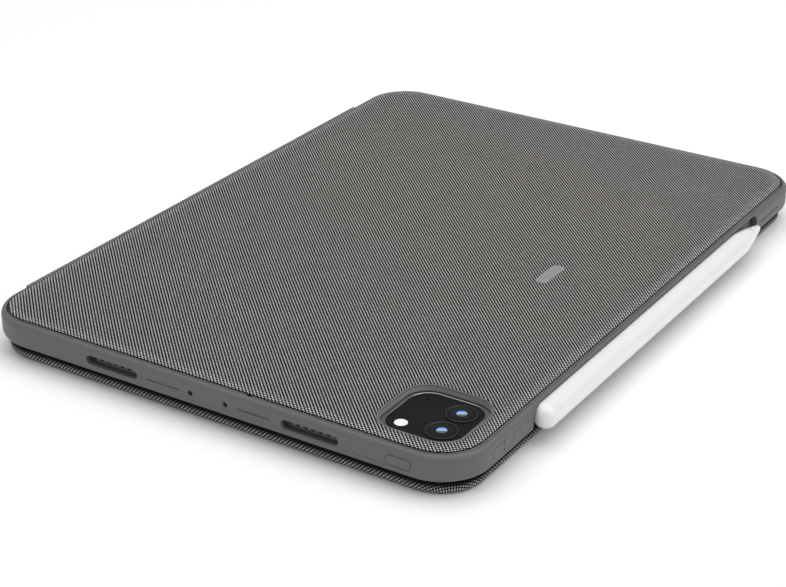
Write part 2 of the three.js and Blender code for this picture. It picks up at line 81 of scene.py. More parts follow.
class Cut(Enum):
    """How one solid works on another."""

    AWAY = "DIFFERENCE"
    KEEP = "INTERSECT"
    ADD = "UNION"


class Axis(Enum):
    """The direction in which an outline is extruded."""

    X = "x"
    Y = "y"
    Z = "z"


# ------------------------------------------------------------------ measures
def span(node: str) -> tuple[np.ndarray, np.ndarray]:
    """Corners of a CAD node in millimetres.

    Args:
        node: Name of the CAD node.

    Returns:
        Its lowest and its highest corner.
    """
    low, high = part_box(node)
    return np.array(low) * 1000.0, np.array(high) * 1000.0


def middle(node: str) -> np.ndarray:
    """Middle of a CAD node's box, in millimetres.

    Args:
        node: Name of the CAD node.

    Returns:
        The middle as x, y, z.
    """
    low, high = span(node)
    return (low + high) / 2.0


def arc(centre: tuple[float, float], radii: tuple[float, float], start: float, end: float, steps: int) -> Section:
    """Points along part of an ellipse.

    Args:
        centre: Middle of the ellipse.
        radii: Its two radii.
        start: First angle in degrees.
        end: Last angle in degrees.
        steps: Number of stretches between the two.

    Returns:
        The points, both ends among them.
    """
    angles = [math.radians(start + (end - start) * i / steps) for i in range(steps + 1)]
    return [(centre[0] + radii[0] * math.cos(a), centre[1] + radii[1] * math.sin(a)) for a in angles]


@dataclass(frozen=True)
class Outline:
    """A rectangle with round corners, in millimetres."""

    half_x: float
    half_y: float
    corner: float
    centre: tuple[float, float] = (0.0, 0.0)
    steps: int = 24

    def loop(self, offset: float = 0.0) -> np.ndarray:
        """Points round the outline, anticlockwise.

        Args:
            offset: How far the outline is moved out.

        Returns:
            One row of x, y per point.
        """
        points = []
        reach = self.corner + offset
        for quarter, (side_x, side_y) in enumerate(((1, 1), (-1, 1), (-1, -1), (1, -1))):
            for step in range(self.steps + 1):
                angle = (quarter + step / self.steps) * math.pi / 2
                x = self.centre[0] + side_x * (self.half_x - self.corner) + reach * math.cos(angle)
                y = self.centre[1] + side_y * (self.half_y - self.corner) + reach * math.sin(angle)
                points.append((x, y))
        return np.array(points)

    def level(self, offset: float, z: float) -> np.ndarray:
        """The outline at a height, as rows of x, y, z."""
        flat = self.loop(offset)
        return np.column_stack([flat, np.full(len(flat), z)])

    def depth(self, points: np.ndarray) -> tuple[np.ndarray, np.ndarray]:
        """Signed distance from the outline, positive outside, and the way out.

        Args:
            points: Rows of x, y.

        Returns:
            The distances, and one unit vector per point.
        """
        local = points - np.array(self.centre)
        core = np.array([self.half_x - self.corner, self.half_y - self.corner])
        q = np.abs(local) - core
        outer = np.maximum(q, 0.0)
        length = np.linalg.norm(outer, axis=1)
        distance = length + np.minimum(q.max(axis=1), 0.0) - self.corner
        flat = np.where(q[:, :1] > q[:, 1:], [[1.0, 0.0]], [[0.0, 1.0]])
        direction = np.where(length[:, None] > 1e-9, outer / np.maximum(length, 1e-9)[:, None], flat)
        return distance, direction * np.where(local < 0, -1.0, 1.0)


def slot_outline(length: float, height: float, u: float, v: float, steps: int = 10) -> Outline:
    """A slot with round ends.

    Args:
        length: Its whole length.
        height: Its height, which is also the width of its ends.
        u: Middle along the length.
        v: Middle along the height.
        steps: Stretches in a quarter turn.

    Returns:
        The outline.
    """
    return Outline(length / 2, height / 2, height / 2 - 0.001, (u, v), steps)


def disc_outline(radius: float, u: float, v: float, steps: int = 8) -> Outline:
    """A circle as an outline.

    Args:
        radius: Its radius.
        u: Middle, first axis.
        v: Middle, second axis.
        steps: Stretches in a quarter turn.

    Returns:
        The outline.
    """
    return Outline(radius, radius, radius - 0.0005, (u, v), steps)


# ------------------------------------------------------------------ solids
class Solid:
    """A closed surface in millimetres that other solids can cut."""

    def __init__(self, mesh: bpy.types.Mesh) -> None:
        """Holds a mesh.

        Args:
            mesh: Vertices in millimetres.
        """
        self.mesh = mesh

    @classmethod
    def of(cls, bm: bmesh.types.BMesh) -> "Solid":
        """Takes over a bmesh.

        Args:
            bm: The bmesh, which is freed.

        Returns:
            The solid, with its faces turned outwards.
        """
        bmesh.ops.recalc_face_normals(bm, faces=bm.faces)
        mesh = bpy.data.meshes.new("solid")
        bm.to_mesh(mesh)
        bm.free()
        return cls(mesh)

    @classmethod
    def skinned(cls, loops: Sequence[np.ndarray], ring: bool = False) -> "Solid":
        """Closes a stack of equal loops.

        Args:
            loops: Rows of x, y, z, as many in each loop.
            ring: True to join the last loop to the first, False to cap both ends.

        Returns:
            The solid.
        """
        bm = bmesh.new()
        levels = [[bm.verts.new(p) for p in loop] for loop in loops]
        pairs = list(zip(levels, levels[1:] + levels[:1] if ring else levels[1:]))
        for low, high in pairs:
            for i in range(len(low)):
                j = (i + 1) % len(low)
                bm.faces.new((low[i], low[j], high[j], high[i]))
        if not ring:
            bm.faces.new(levels[0][::-1])
            bm.faces.new(levels[-1])
        bmesh.ops.remove_doubles(bm, verts=bm.verts, dist=1e-5)
        return cls.of(bm)

    @classmethod
    def along(cls, outline: Outline, section: Section, ring: bool = False) -> "Solid":
        """Sweeps a section round an outline.

        Args:
            outline: The outline to follow.
            section: Points of offset and height.
            ring: True for a closed section, False for a slab with flat ends.

        Returns:
            The solid.
        """
        return cls.skinned([outline.level(offset, z) for offset, z in section], ring)

    @classmethod
    def prism(cls, shape: Outline | np.ndarray, axis: Axis, start: float, end: float) -> "Solid":
        """Extrudes an outline along an axis.

        Args:
            shape: The outline, or rows of its points, in the two axes left over.
            axis: The direction.
            start: Place of one end.
            end: Place of the other.

        Returns:
            The solid.
        """
        flat = shape.loop() if isinstance(shape, Outline) else np.array(shape, float)
        loops = []
        for place in (start, end):
            fixed = np.full(len(flat), place)
            columns = {
                Axis.X: [fixed, flat[:, 0], flat[:, 1]],
                Axis.Y: [flat[:, 0], fixed, flat[:, 1]],
                Axis.Z: [flat[:, 0], flat[:, 1], fixed],
            }[axis]
            loops.append(np.column_stack(columns))
        return cls.skinned(loops)

    @classmethod
    def block(cls, low: Point, high: Point) -> "Solid":
        """A box between two corners.

        Args:
            low: Lowest corner.
            high: Highest corner.

        Returns:
            The solid.
        """
        flat = [(low[0], low[1]), (high[0], low[1]), (high[0], high[1]), (low[0], high[1])]
        return cls.prism(np.array(flat), Axis.Z, low[2], high[2])

    @classmethod
    def turned(cls, profile: Section, y: float, z: float, steps: int = 64) -> "Solid":
        """A surface of revolution about a line along X.

        Args:
            profile: Points of x and radius; a radius of nought closes an end.
            y: Place of the line.
            z: Height of the line.
            steps: Stretches round the line.

        Returns:
            The solid.
        """
        angles = np.arange(steps) * 2 * math.pi / steps
        loops = []
        for x, radius in profile:
            r = max(radius, 1e-4)
            loops.append(np.column_stack([np.full(steps, x), y + r * np.cos(angles), z + r * np.sin(angles)]))
        return cls.skinned(loops)

    @classmethod
    def together(cls, solids: Sequence["Solid"]) -> "Solid":
        """Puts separate solids into one mesh.

        Args:
            solids: Solids that don't touch each other.

        Returns:
            One solid of several bodies.
        """
        bm = bmesh.new()
        for solid in solids:
            bm.from_mesh(solid.mesh)
        mesh = bpy.data.meshes.new("solids")
        bm.to_mesh(mesh)
        bm.free()
        return cls(mesh)

    def worked(self, kind: Cut, *tools: "Solid") -> "Solid":
        """Cuts, keeps or adds.

        Args:
            kind: What the tools do.
            *tools: Solids that don't touch each other.

        Returns:
            The new solid.
        """
        tool = Solid.together(tools)
        scene = bpy.context.scene.collection.objects
        work = bpy.data.objects.new("work", self.mesh)
        cutter = bpy.data.objects.new("cutter", tool.mesh)
        scene.link(work)
        scene.link(cutter)
        step = work.modifiers.new("work", "BOOLEAN")
        step.operation = kind.value
        step.solver = "EXACT"
        step.object = cutter
        bpy.context.view_layer.update()
        evaluated = work.evaluated_get(bpy.context.evaluated_depsgraph_get())
        mesh = bpy.data.meshes.new_from_object(evaluated)
        bpy.data.objects.remove(work)
        bpy.data.objects.remove(cutter)
        return Solid(mesh)

    def eased(self, width: float, where: Callable[[Vector], bool], segments: int = 2, angle: float = 35.0) -> "Solid":
        """Rounds sharp edges.

        Args:
            width: Width of the rounding.
            where: Tells from an edge's middle whether it is rounded.
            segments: Faces across the rounding.
            angle: Only edges sharper than this many degrees.

        Returns:
            The new solid.
        """
        bm = bmesh.new()
        bm.from_mesh(self.mesh)
        limit = math.radians(angle)
        edges = []
        for edge in bm.edges:
            if edge.is_manifold and edge.calc_face_angle(0.0) > limit:
                if where((edge.verts[0].co + edge.verts[1].co) / 2):
                    edges.append(edge)
        bmesh.ops.bevel(
            bm, geom=edges, offset=width, offset_type="OFFSET", segments=segments, profile=0.5,
            affect="EDGES", clamp_overlap=False,
        )
        return Solid.of(bm)

    def sliced(self, axis: Axis, places: Sequence[float]) -> "Solid":
        """Adds edges across the solid.

        Args:
            axis: The slices' normal.
            places: Where the slices are.

        Returns:
            The new solid.
        """
        normal = {Axis.X: (1, 0, 0), Axis.Y: (0, 1, 0), Axis.Z: (0, 0, 1)}[axis]
        bm = bmesh.new()
        bm.from_mesh(self.mesh)
        for place in places:
            geometry = list(bm.verts) + list(bm.edges) + list(bm.faces)
            bmesh.ops.bisect_plane(bm, geom=geometry, plane_co=Vector(normal) * place, plane_no=normal)
        return Solid.of(bm)

    def moved(self, change: Callable[[np.ndarray], np.ndarray]) -> "Solid":
        """Moves the points.

        Args:
            change: Gives new rows of x, y, z for old ones.

        Returns:
            The same solid.
        """
        flat = np.empty(len(self.mesh.vertices) * 3, np.float32)
        self.mesh.vertices.foreach_get("co", flat)
        points = change(flat.reshape(-1, 3).astype(float))
        self.mesh.vertices.foreach_set("co", points.astype(np.float32).ravel())
        self.mesh.update()
        return self

    def points(self) -> np.ndarray:
        """The vertices as rows of x, y, z."""
        flat = np.empty(len(self.mesh.vertices) * 3, np.float32)
        self.mesh.vertices.foreach_get("co", flat)
        return flat.reshape(-1, 3).astype(float)


@dataclass(frozen=True)
class Roll:
    """How a cloth's weave runs over an outline's edge and down its side."""

    outline: Outline
    offset: float
    top: float
    section: tuple[tuple[float, float], ...]
    # The first pair is where the cloth's mark rises from flat to rolled, which lightens it as a painted highlight; the
    # second is where it is drawn almost black.
    roll_ramp: tuple[float, float] = (0.0, 0.0)
    dark: tuple[float, float] = (99.0, 99.0)

    def lay(self, points: np.ndarray) -> np.ndarray:
        """Weave coordinates in millimetres of cloth.

        Args:
            points: Rows of x, y, z on the cloth.

        Returns:
            Rows of u, v and a mark: 0 where the cloth lies flat, 1 where it rolls over and is lightened as a
            painted highlight, 2 where it is drawn almost black: painted shadow on the deck's side, a dark cut edge on
            the back cloth.
        """
        distance, outward = self.outline.depth(points[:, :2])
        section = np.array(self.section)
        steps = np.linalg.norm(np.diff(section, axis=0), axis=1)
        run = np.concatenate([[0.0], np.cumsum(steps)])
        order = np.argsort(section[:, 1])
        down = np.interp(points[:, 2], section[order, 1], run[order])
        over = distance > self.offset + 1e-3
        edge = points[:, :2] - outward * (distance - self.offset)[:, None]
        laid = np.where(over[:, None], edge + outward * down[:, None], points[:, :2])
        passed = np.where(over, down, 0.0)
        first, last = self.roll_ramp
        mark = np.clip((passed - first) / max(last - first, 1e-6), 0.0, 1.0) if last > first else passed * 0.0
        mark = np.where((passed >= self.dark[0]) & (passed <= self.dark[1]) & over, 2.0, mark)
        return np.column_stack([laid, mark])


def make_piece(
    name: str, solid: Solid, finish: "Finish", body: str, replaced: Sequence[str] = (),
    smooth: float = 35.0, weave: np.ndarray | None = None, ride: bool = True,
) -> bpy.types.Object:
    """Turns a solid into a piece of the object.

    Args:
        name: The piece's name.
        solid: Its shape in millimetres.
        finish: What it is made of.
        body: The CAD body that it moves with.
        replaced: The CAD nodes that it stands for.
        smooth: Edges sharper than this many degrees stay sharp.
        weave: Cloth coordinates per vertex, for a woven finish.
        ride: False for a piece that is left unattached, with no body to move with.

    Returns:
        The object, in metres.
    """
    mesh = solid.mesh
    mesh.name = name
    if weave is not None:
        layer = mesh.attributes.new("weave", "FLOAT_VECTOR", "POINT")
        layer.data.foreach_set("vector", weave.astype(np.float32).ravel())
    mesh.transform(Matrix.Scale(0.001, 4))
    mesh.shade_smooth()
    mesh.set_sharp_from_angle(angle=math.radians(smooth))
    mesh.materials.clear()
    mesh.materials.append(finish.material())
    piece = bpy.data.objects.new(name, mesh)
    bpy.context.scene.collection.objects.link(piece)
    weighted = piece.modifiers.new("even_shading", "WEIGHTED_NORMAL")
    weighted.keep_sharp = True
    weighted.weight = 80
    if ride:
        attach(piece, body)
    if replaced:
        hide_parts(*replaced)
    LOG.info("%s: %d faces, %s", name, len(mesh.polygons), finish.name)
    return piece


# ------------------------------------------------------------------ finishes
class Graph:
    """A material's nodes, with short ways to add and join them."""

    def __init__(self, name: str) -> None:
        """Starts an empty material.

        Args:
            name: The material's name.
        """
        self.material = bpy.data.materials.new(name)
        self.material.use_nodes = True
        self.tree = self.material.node_tree
        self.shader = self.tree.nodes["Principled BSDF"]

    def node(self, kind: str, **settings: object) -> bpy.types.Node:
        """Adds a node.

        Args:
            kind: Its type without the ShaderNode prefix.
            **settings: Properties to set.

        Returns:
            The node.
        """
        made = self.tree.nodes.new("ShaderNode" + kind)
        for key, value in settings.items():
            setattr(made, key, value)
        return made

    def feed(self, socket: bpy.types.NodeSocket, value: object) -> None:
        """Sets an input, or links it.

        Args:
            socket: The input.
            value: A number, a vector or another node's output.
        """
        if isinstance(value, bpy.types.NodeSocket):
            self.tree.links.new(value, socket)
        else:
            socket.default_value = value

    def sum(self, kind: str, a: object, b: object = 0.0, c: object = 0.0) -> bpy.types.NodeSocket:
        """A sum with numbers.

        Args:
            kind: The Math node's operation.
            a: First number.
            b: Second number.
            c: Third number.

        Returns:
            The result.
        """
        made = self.node("Math", operation=kind)
        for socket, value in zip(made.inputs, (a, b, c)):
            self.feed(socket, value)
        return made.outputs[0]

    def vector(self, kind: str, a: object, b: object = (0.0, 0.0, 0.0)) -> bpy.types.NodeSocket:
        """A sum with vectors.

        Args:
            kind: The Vector Math node's operation.
            a: First vector.
            b: Second vector.

        Returns:
            The resulting vector.
        """
        made = self.node("VectorMath", operation=kind)
        self.feed(made.inputs[0], a)
        self.feed(made.inputs[1], b)
        return made.outputs[0]

    def blend(self, share: object, a: object, b: object) -> bpy.types.NodeSocket:
        """A mix of two colours.

        Args:
            share: How much of the second, 0 to 1.
            a: First colour.
            b: Second colour.

        Returns:
            The colour.
        """
        made = self.node("Mix", data_type="RGBA")
        self.feed(made.inputs[0], share)
        self.feed(made.inputs[6], a)
        self.feed(made.inputs[7], b)
        return made.outputs[2]

    def between(self, share: object, a: float, b: float) -> bpy.types.NodeSocket:
        """A number between two others.

        Args:
            share: Where, 0 to 1.
            a: Number at 0.
            b: Number at 1.

        Returns:
            The number.
        """
        return self.sum("MULTIPLY_ADD", share, b - a, a)

    def noise(self, at: object, scale: float, detail: float = 3.0, rough: float = 0.5) -> bpy.types.NodeSocket:
        """Cloudy noise.

        Args:
            at: Coordinates.
            scale: Its scale.
            detail: Octaves.
            rough: How strong the finer octaves are.

        Returns:
            A number from 0 to 1.
        """
        made = self.node("TexNoise")
        self.feed(made.inputs["Vector"], at)
        made.inputs["Scale"].default_value = scale
        made.inputs["Detail"].default_value = detail
        made.inputs["Roughness"].default_value = rough
        return made.outputs["Fac"]

    def place(self) -> bpy.types.NodeSocket:
        """Coordinates on the piece, in metres."""
        return self.node("TexCoord").outputs["Object"]

    def relief(self, height: object, strength: float, distance: float, under: object = None) -> bpy.types.NodeSocket:
        """A bumpy surface's normal.

        Args:
            height: The height.
            strength: Its strength.
            distance: Its depth in metres.
            under: Another relief that it lies on.

        Returns:
            The normal.
        """
        made = self.node("Bump")
        made.inputs["Strength"].default_value = strength
        made.inputs["Distance"].default_value = distance
        self.feed(made.inputs["Height"], height)
        if under is not None:
            self.feed(made.inputs["Normal"], under)
        return made.outputs[0]

    def dress(self, colour: object, roughness: object, normal: object = None, **fixed: float) -> bpy.types.Material:
        """Joins everything to the shader.

        Args:
            colour: Base colour.
            roughness: Roughness.
            normal: Normal, if the surface has relief.
            **fixed: Numbers for the shader's own sockets, with _ for a space.

        Returns:
            The material.
        """
        self.feed(self.shader.inputs["Base Color"], colour)
        self.feed(self.shader.inputs["Roughness"], roughness)
        if normal is not None:
            self.feed(self.shader.inputs["Normal"], normal)
        for key, value in fixed.items():
            self.shader.inputs[key.replace("_", " ")].default_value = value
        return self.material


def grey(level: float, warmth: float = 0.0) -> tuple[float, float, float, float]:
    """A grey as a colour.

    Args:
        level: Its linear value.
        warmth: Red over blue, as a share.

    Returns:
        Red, green, blue and alpha.
    """
    return (level * (1 + warmth), level, level * (1 - warmth), 1.0)


@dataclass(frozen=True)
class Finish:
    """What a piece is made of."""

    name: str
    slot: str

    def graph(self) -> bpy.types.Material:
        """Makes the material's nodes."""
        raise NotImplementedError

    def material(self) -> bpy.types.Material:
        """The finish's material, made once."""
        return bpy.data.materials.get(self.name) or self.graph()


@dataclass(frozen=True)
class WovenCloth(Finish):
    """Plain weave of a pale and a dark thread, both spun from mixed fibres."""

    pitch: float = 0.676
    pale: float = 0.39
    dark: float = 0.007
    shade: float = 0.45
    rib: float = 0.74
    cover: float = 0.20
    edge: float = 0.22
    roll_highlight: float = 0.45

    def graph(self) -> bpy.types.Material:
        """Makes the material's nodes.

        Returns:
            The material.
        """
        g = Graph(self.name)
        split = g.node("SeparateXYZ")
        weave = g.node("Attribute", attribute_name="weave").outputs["Vector"]
        marked = g.node("SeparateXYZ")
        g.feed(marked.inputs[0], weave)
        rolled = g.sum("MINIMUM", marked.outputs[2], 1.0)
        dark_edge_and_shade = g.sum("MAXIMUM", g.sum("SUBTRACT", marked.outputs[2], 1.0), 0.0)
        weave = g.vector("MULTIPLY", weave, (1.0, 1.0, 0.0))
        wobble = g.node("TexNoise")
        g.feed(wobble.inputs["Vector"], weave)
        wobble.inputs["Scale"].default_value = 0.35
        wobble.inputs["Detail"].default_value = 2.0
        shift = g.vector("SCALE", g.vector("SUBTRACT", wobble.outputs["Color"], (0.5, 0.5, 0.5)))
        shift.node.inputs["Scale"].default_value = 0.12
        g.feed(split.inputs[0], g.vector("ADD", weave, shift))
        u = g.sum("DIVIDE", split.outputs[0], self.pitch)
        v = g.sum("DIVIDE", split.outputs[1], self.pitch)
        row, column = g.sum("FLOOR", u), g.sum("FLOOR", v)
        parity = g.sum("FLOORED_MODULO", g.sum("ADD", row, column), 2.0)
        cu = g.sum("SUBTRACT", g.sum("SUBTRACT", u, row), 0.5)
        cv = g.sum("SUBTRACT", g.sum("SUBTRACT", v, column), 0.5)
        flip = g.sum("SUBTRACT", 1.0, parity)
        across = g.sum("ADD", g.sum("MULTIPLY", cu, parity), g.sum("MULTIPLY", cv, flip))
        length = g.sum("ADD", g.sum("MULTIPLY", cv, parity), g.sum("MULTIPLY", cu, flip))
        round_ = g.sum("SUBTRACT", 1.0, g.sum("MULTIPLY", g.sum("MULTIPLY", across, across), 3.4))
        crown = g.sum("SUBTRACT", 1.0, g.sum("MULTIPLY", g.sum("MULTIPLY", length, length), 2.2))
        height = g.sum("MULTIPLY", g.sum("SQRT", g.sum("MAXIMUM", round_, 0.0)), crown)
        thread = g.node("CombineXYZ")
        g.feed(thread.inputs[0], g.sum("MULTIPLY", across, 9.0))
        g.feed(thread.inputs[1], g.sum("ADD", g.sum("MULTIPLY", length, 1.6), g.sum("MULTIPLY", row, 1.7)))
        g.feed(thread.inputs[2], g.sum("ADD", g.sum("MULTIPLY", column, 2.3), g.sum("MULTIPLY", parity, 7.0)))
        fibre = g.noise(thread.outputs[0], 1.0, 3.0, 0.65)
        cell = g.node("CombineXYZ")
        g.feed(cell.inputs[0], row)
        g.feed(cell.inputs[1], column)
        grain = g.node("TexWhiteNoise", noise_dimensions="2D")
        g.feed(grain.inputs["Vector"], cell.outputs[0])
        broad = g.noise(weave, 0.06, 3.0)
        tone = g.sum("MULTIPLY", g.between(fibre, 0.55, 1.45), g.between(grain.outputs[0], 0.86, 1.14))
        tone = g.sum("MULTIPLY", tone, g.between(broad, 0.92, 1.08))
        # Painted highlight: the cloth is drawn up to 45% lighter where it rolls over the edge.
        tone = g.sum("MULTIPLY", tone, g.sum("ADD", 1.0, g.sum("MULTIPLY", rolled, self.roll_highlight)))
        # Drawn almost black where the mark is 2: painted shadow under the bumper's lip on the deck, a dark cut edge on
        # the back cloth.
        tone = g.sum("MULTIPLY", tone, g.sum("SUBTRACT", 1.0, g.sum("MULTIPLY", dark_edge_and_shade, 0.96)))
        dim = g.sum("MULTIPLY", tone, g.between(height, self.shade, 1.0))
        rib = g.sum("COSINE", g.sum("MULTIPLY", g.sum("SUBTRACT", u, v), math.pi))
        counter = g.sum("COSINE", g.sum("MULTIPLY", g.sum("SUBTRACT", g.sum("ADD", u, v), 1.0), math.pi))
        share = g.sum("SUBTRACT", self.rib, g.sum("MULTIPLY", rolled, self.rib - 0.5))
        face = g.sum("ADD", g.sum("MULTIPLY", rib, share), g.sum("MULTIPLY", counter, g.sum("SUBTRACT", 1.0, share)))
        pale_side = g.node("MapRange", interpolation_type="SMOOTHSTEP")
        g.feed(pale_side.inputs[0], face)
        pale_side.inputs[1].default_value = self.cover - self.edge
        pale_side.inputs[2].default_value = self.cover + self.edge
        base = g.blend(pale_side.outputs[0], grey(self.dark, 0.02), grey(self.pale, 0.0))
        lit = g.node("Mix", data_type="RGBA", blend_type="MULTIPLY")
        lit.inputs[0].default_value = 1.0
        g.feed(lit.inputs[6], base)
        g.feed(lit.inputs[7], dim)
        normal = g.relief(g.sum("ADD", height, g.sum("MULTIPLY", fibre, 0.25)), 0.3, 0.0001)
        return g.dress(lit.outputs[2], g.between(fibre, 0.85, 0.98), normal, Specular_IOR_Level=0.12)


@dataclass(frozen=True)
class Moulded(Finish):
    """A moulded rubber or plastic with a fine spark-eroded grain."""

    level: float = 0.1
    warmth: float = 0.0
    roughness: float = 0.5
    grain: float = 9000.0
    depth: float = 0.00003
    blotch: float = 0.06

    def graph(self) -> bpy.types.Material:
        """Makes the material's nodes.

        Returns:
            The material.
        """
        g = Graph(self.name)
        at = g.place()
        grain = g.noise(at, self.grain, 3.0, 0.6)
        broad = g.noise(at, 45.0, 4.0)
        share = g.sum("ADD", g.sum("MULTIPLY", grain, 0.5), g.sum("MULTIPLY", broad, 0.5))
        low, high = self.level * (1 - self.blotch), self.level * (1 + self.blotch)
        colour = g.blend(share, grey(low, self.warmth), grey(high, self.warmth))
        rough = g.between(broad, self.roughness - 0.05, self.roughness + 0.05)
        return g.dress(colour, rough, g.relief(grain, 0.35, self.depth))


@dataclass(frozen=True)
class Metal(Finish):
    """A metal with a drawn or blasted surface."""

    colour: tuple[float, float, float] = (0.5, 0.5, 0.51)
    roughness: float = 0.35
    drawn: float = 12.0
    scale: float = 1500.0

    def graph(self) -> bpy.types.Material:
        """Makes the material's nodes.

        Returns:
            The material.
        """
        g = Graph(self.name)
        stretched = g.vector("MULTIPLY", g.place(), (1.0, self.drawn, self.drawn))
        lines = g.noise(stretched, self.scale / self.drawn, 4.0, 0.7)
        dark = tuple(0.86 * c for c in self.colour) + (1.0,)
        bright = tuple(min(1.0, 1.1 * c) for c in self.colour) + (1.0,)
        colour = g.blend(lines, dark, bright)
        rough = g.between(lines, self.roughness - 0.07, self.roughness + 0.07)
        return g.dress(colour, rough, g.relief(lines, 0.15, 0.00001), Metallic=1.0)


@dataclass(frozen=True)
class Glass(Finish):
    """Dark glass over an opaque back, seen as a glossy coat with faint smears."""

    colour: tuple[float, float, float] = (0.010, 0.010, 0.012)
    roughness: float = 0.04
    coat: float = 0.6
    specular: float = 0.5

    def graph(self) -> bpy.types.Material:
        """Makes the material's nodes.

        Returns:
            The material.
        """
        g = Graph(self.name)
        smear = g.noise(g.vector("MULTIPLY", g.place(), (1.0, 0.35, 1.0)), 60.0, 5.0, 0.6)
        dark = tuple(0.8 * c for c in self.colour) + (1.0,)
        bright = tuple(1.3 * c for c in self.colour) + (1.0,)
        rough = g.between(smear, self.roughness, self.roughness + 0.05)
        return g.dress(g.blend(smear, dark, bright), rough, Coat_Weight=self.coat, Coat_Roughness=0.03,
                       Specular_IOR_Level=self.specular)


@dataclass(frozen=True)
class CoatedLens(Finish):
    """A lens behind its coating: dark rings round a pupil drawn as a painted reflection, a sweep from brown through
    pale blue to deep blue over the coating's bluish tint.
    """

    centre: tuple[float, float] = (0.0, 0.0)
    radius: float = 3.0

    def graph(self) -> bpy.types.Material:
        """Makes the material's nodes.

        Returns:
            The material.
        """
        g = Graph(self.name)
        flat = g.vector("SUBTRACT", g.place(), (self.centre[0] / 1000, self.centre[1] / 1000, 0.0))
        split = g.node("SeparateXYZ")
        g.feed(split.inputs[0], flat)
        far = g.sum("SQRT", g.sum("ADD", g.sum("POWER", split.outputs[0], 2.0), g.sum("POWER", split.outputs[1], 2.0)))
        share = g.sum("DIVIDE", far, self.radius / 1000)
        ramp = self.ramp(g, share, [
            (0.0, (0.10, 0.17, 0.26, 1)), (0.36, (0.06, 0.12, 0.22, 1)), (0.41, (0.004, 0.005, 0.007, 1)),
            (0.60, (0.006, 0.007, 0.008, 1)), (0.64, (0.020, 0.021, 0.023, 1)), (0.68, (0.006, 0.006, 0.007, 1)),
            (1.0, (0.003, 0.003, 0.004, 1)),
        ])
        # Painted reflection: the pupil's colour sweeps across one direction, a pale crescent between dark brown and
        # deep blue; its blue is the coating's tint.
        reflection_sweep = g.sum("ADD", g.sum("MULTIPLY", split.outputs[0], 0.85), g.sum("MULTIPLY", split.outputs[1], 0.53))
        half = g.sum("DIVIDE", reflection_sweep, self.radius / 1000)
        painted_reflection = self.ramp(g, g.sum("ADD", g.sum("MULTIPLY", half, 0.5), 0.5), [
            (0.0, (0.05, 0.035, 0.03, 1)), (0.44, (0.14, 0.11, 0.10, 1)), (0.49, (0.45, 0.55, 0.75, 1)),
            (0.56, (0.20, 0.42, 0.90, 1)), (1.0, (0.03, 0.10, 0.42, 1)),
        ])
        pupil = g.sum("LESS_THAN", share, 0.345)
        colour = g.blend(pupil, ramp, painted_reflection)
        dust = g.noise(g.place(), 2500.0, 2.0)
        return g.dress(colour, g.between(dust, 0.08, 0.14), Specular_IOR_Level=0.12)

    def ramp(self, g: Graph, share: bpy.types.NodeSocket,
             stops: Sequence[tuple[float, tuple[float, float, float, float]]]) -> bpy.types.NodeSocket:
        """A colour that changes with a value.

        Args:
            g: The material's nodes.
            share: The value, from 0 to 1.
            stops: Values with their colours.

        Returns:
            The colour.
        """
        ramp = g.node("ValToRGB")
        g.feed(ramp.inputs[0], share)
        for _ in stops[2:]:
            ramp.color_ramp.elements.new(0.5)
        for element, (at, colour) in zip(ramp.color_ramp.elements, stops):
            element.position = at
            element.color = colour
        return ramp.outputs[0]


@dataclass(frozen=True)
class Gloss(Finish):
    """Smooth glossy plastic with a slight waviness under its lacquer."""

    level: float = 0.8
    warmth: float = 0.0
    roughness: float = 0.16

    def graph(self) -> bpy.types.Material:
        """Makes the material's nodes.

        Returns:
            The material.
        """
        g = Graph(self.name)
        at = g.place()
        wave = g.noise(at, 120.0, 2.0)
        fine = g.noise(at, 3000.0, 2.0)
        colour = g.blend(wave, grey(self.level * 0.97, self.warmth), grey(self.level, self.warmth))
        normal = g.relief(wave, 0.05, 0.0002)
        return g.dress(colour, g.between(fine, self.roughness, self.roughness + 0.06), normal, Coat_Weight=0.35)


@dataclass(frozen=True)
class Board(Finish):
    """A circuit board's lacquer over faint copper tracks."""

    def graph(self) -> bpy.types.Material:
        """Makes the material's nodes.

        Returns:
            The material.
        """
        g = Graph(self.name)
        tracks = g.node("TexBrick")
        g.feed(tracks.inputs["Vector"], g.place())
        tracks.inputs["Scale"].default_value = 220.0
        tracks.inputs["Color1"].default_value = (0.012, 0.055, 0.026, 1)
        tracks.inputs["Color2"].default_value = (0.016, 0.070, 0.034, 1)
        tracks.inputs["Mortar"].default_value = (0.04, 0.13, 0.06, 1)
        tracks.inputs["Mortar Size"].default_value = 0.012
        rough = g.between(g.noise(g.place(), 900.0), 0.3, 0.45)
        return g.dress(tracks.outputs["Color"], rough, g.relief(tracks.outputs["Fac"], 0.2, 0.00003))


@dataclass(frozen=True)
class Suede(Finish):
    """Short brushed pile."""

    level: float = 0.06

    def graph(self) -> bpy.types.Material:
        """Makes the material's nodes.

        Returns:
            The material.
        """
        g = Graph(self.name)
        at = g.place()
        pile = g.noise(at, 5200.0, 4.0, 0.7)
        stroke = g.noise(g.vector("MULTIPLY", at, (1.0, 0.25, 1.0)), 90.0, 3.0)
        share = g.sum("ADD", g.sum("MULTIPLY", pile, 0.6), g.sum("MULTIPLY", stroke, 0.4))
        colour = g.blend(share, grey(self.level * 0.6), grey(self.level * 1.5))
        return g.dress(colour, g.between(pile, 0.85, 1.0), g.relief(pile, 0.5, 0.0001), Sheen_Weight=0.35)


@dataclass(frozen=True)
class PaleFloor(Finish):
    """A pale studio floor with a trace of mottling."""

    level: float = 0.95

    def graph(self) -> bpy.types.Material:
        """Makes the material's nodes.

        Returns:
            The material.
        """
        g = Graph(self.name)
        mottle = g.noise(g.place(), 6.0, 3.0)
        colour = g.blend(mottle, grey(self.level * 0.99), grey(self.level))
        return g.dress(colour, g.between(mottle, 0.75, 0.85))


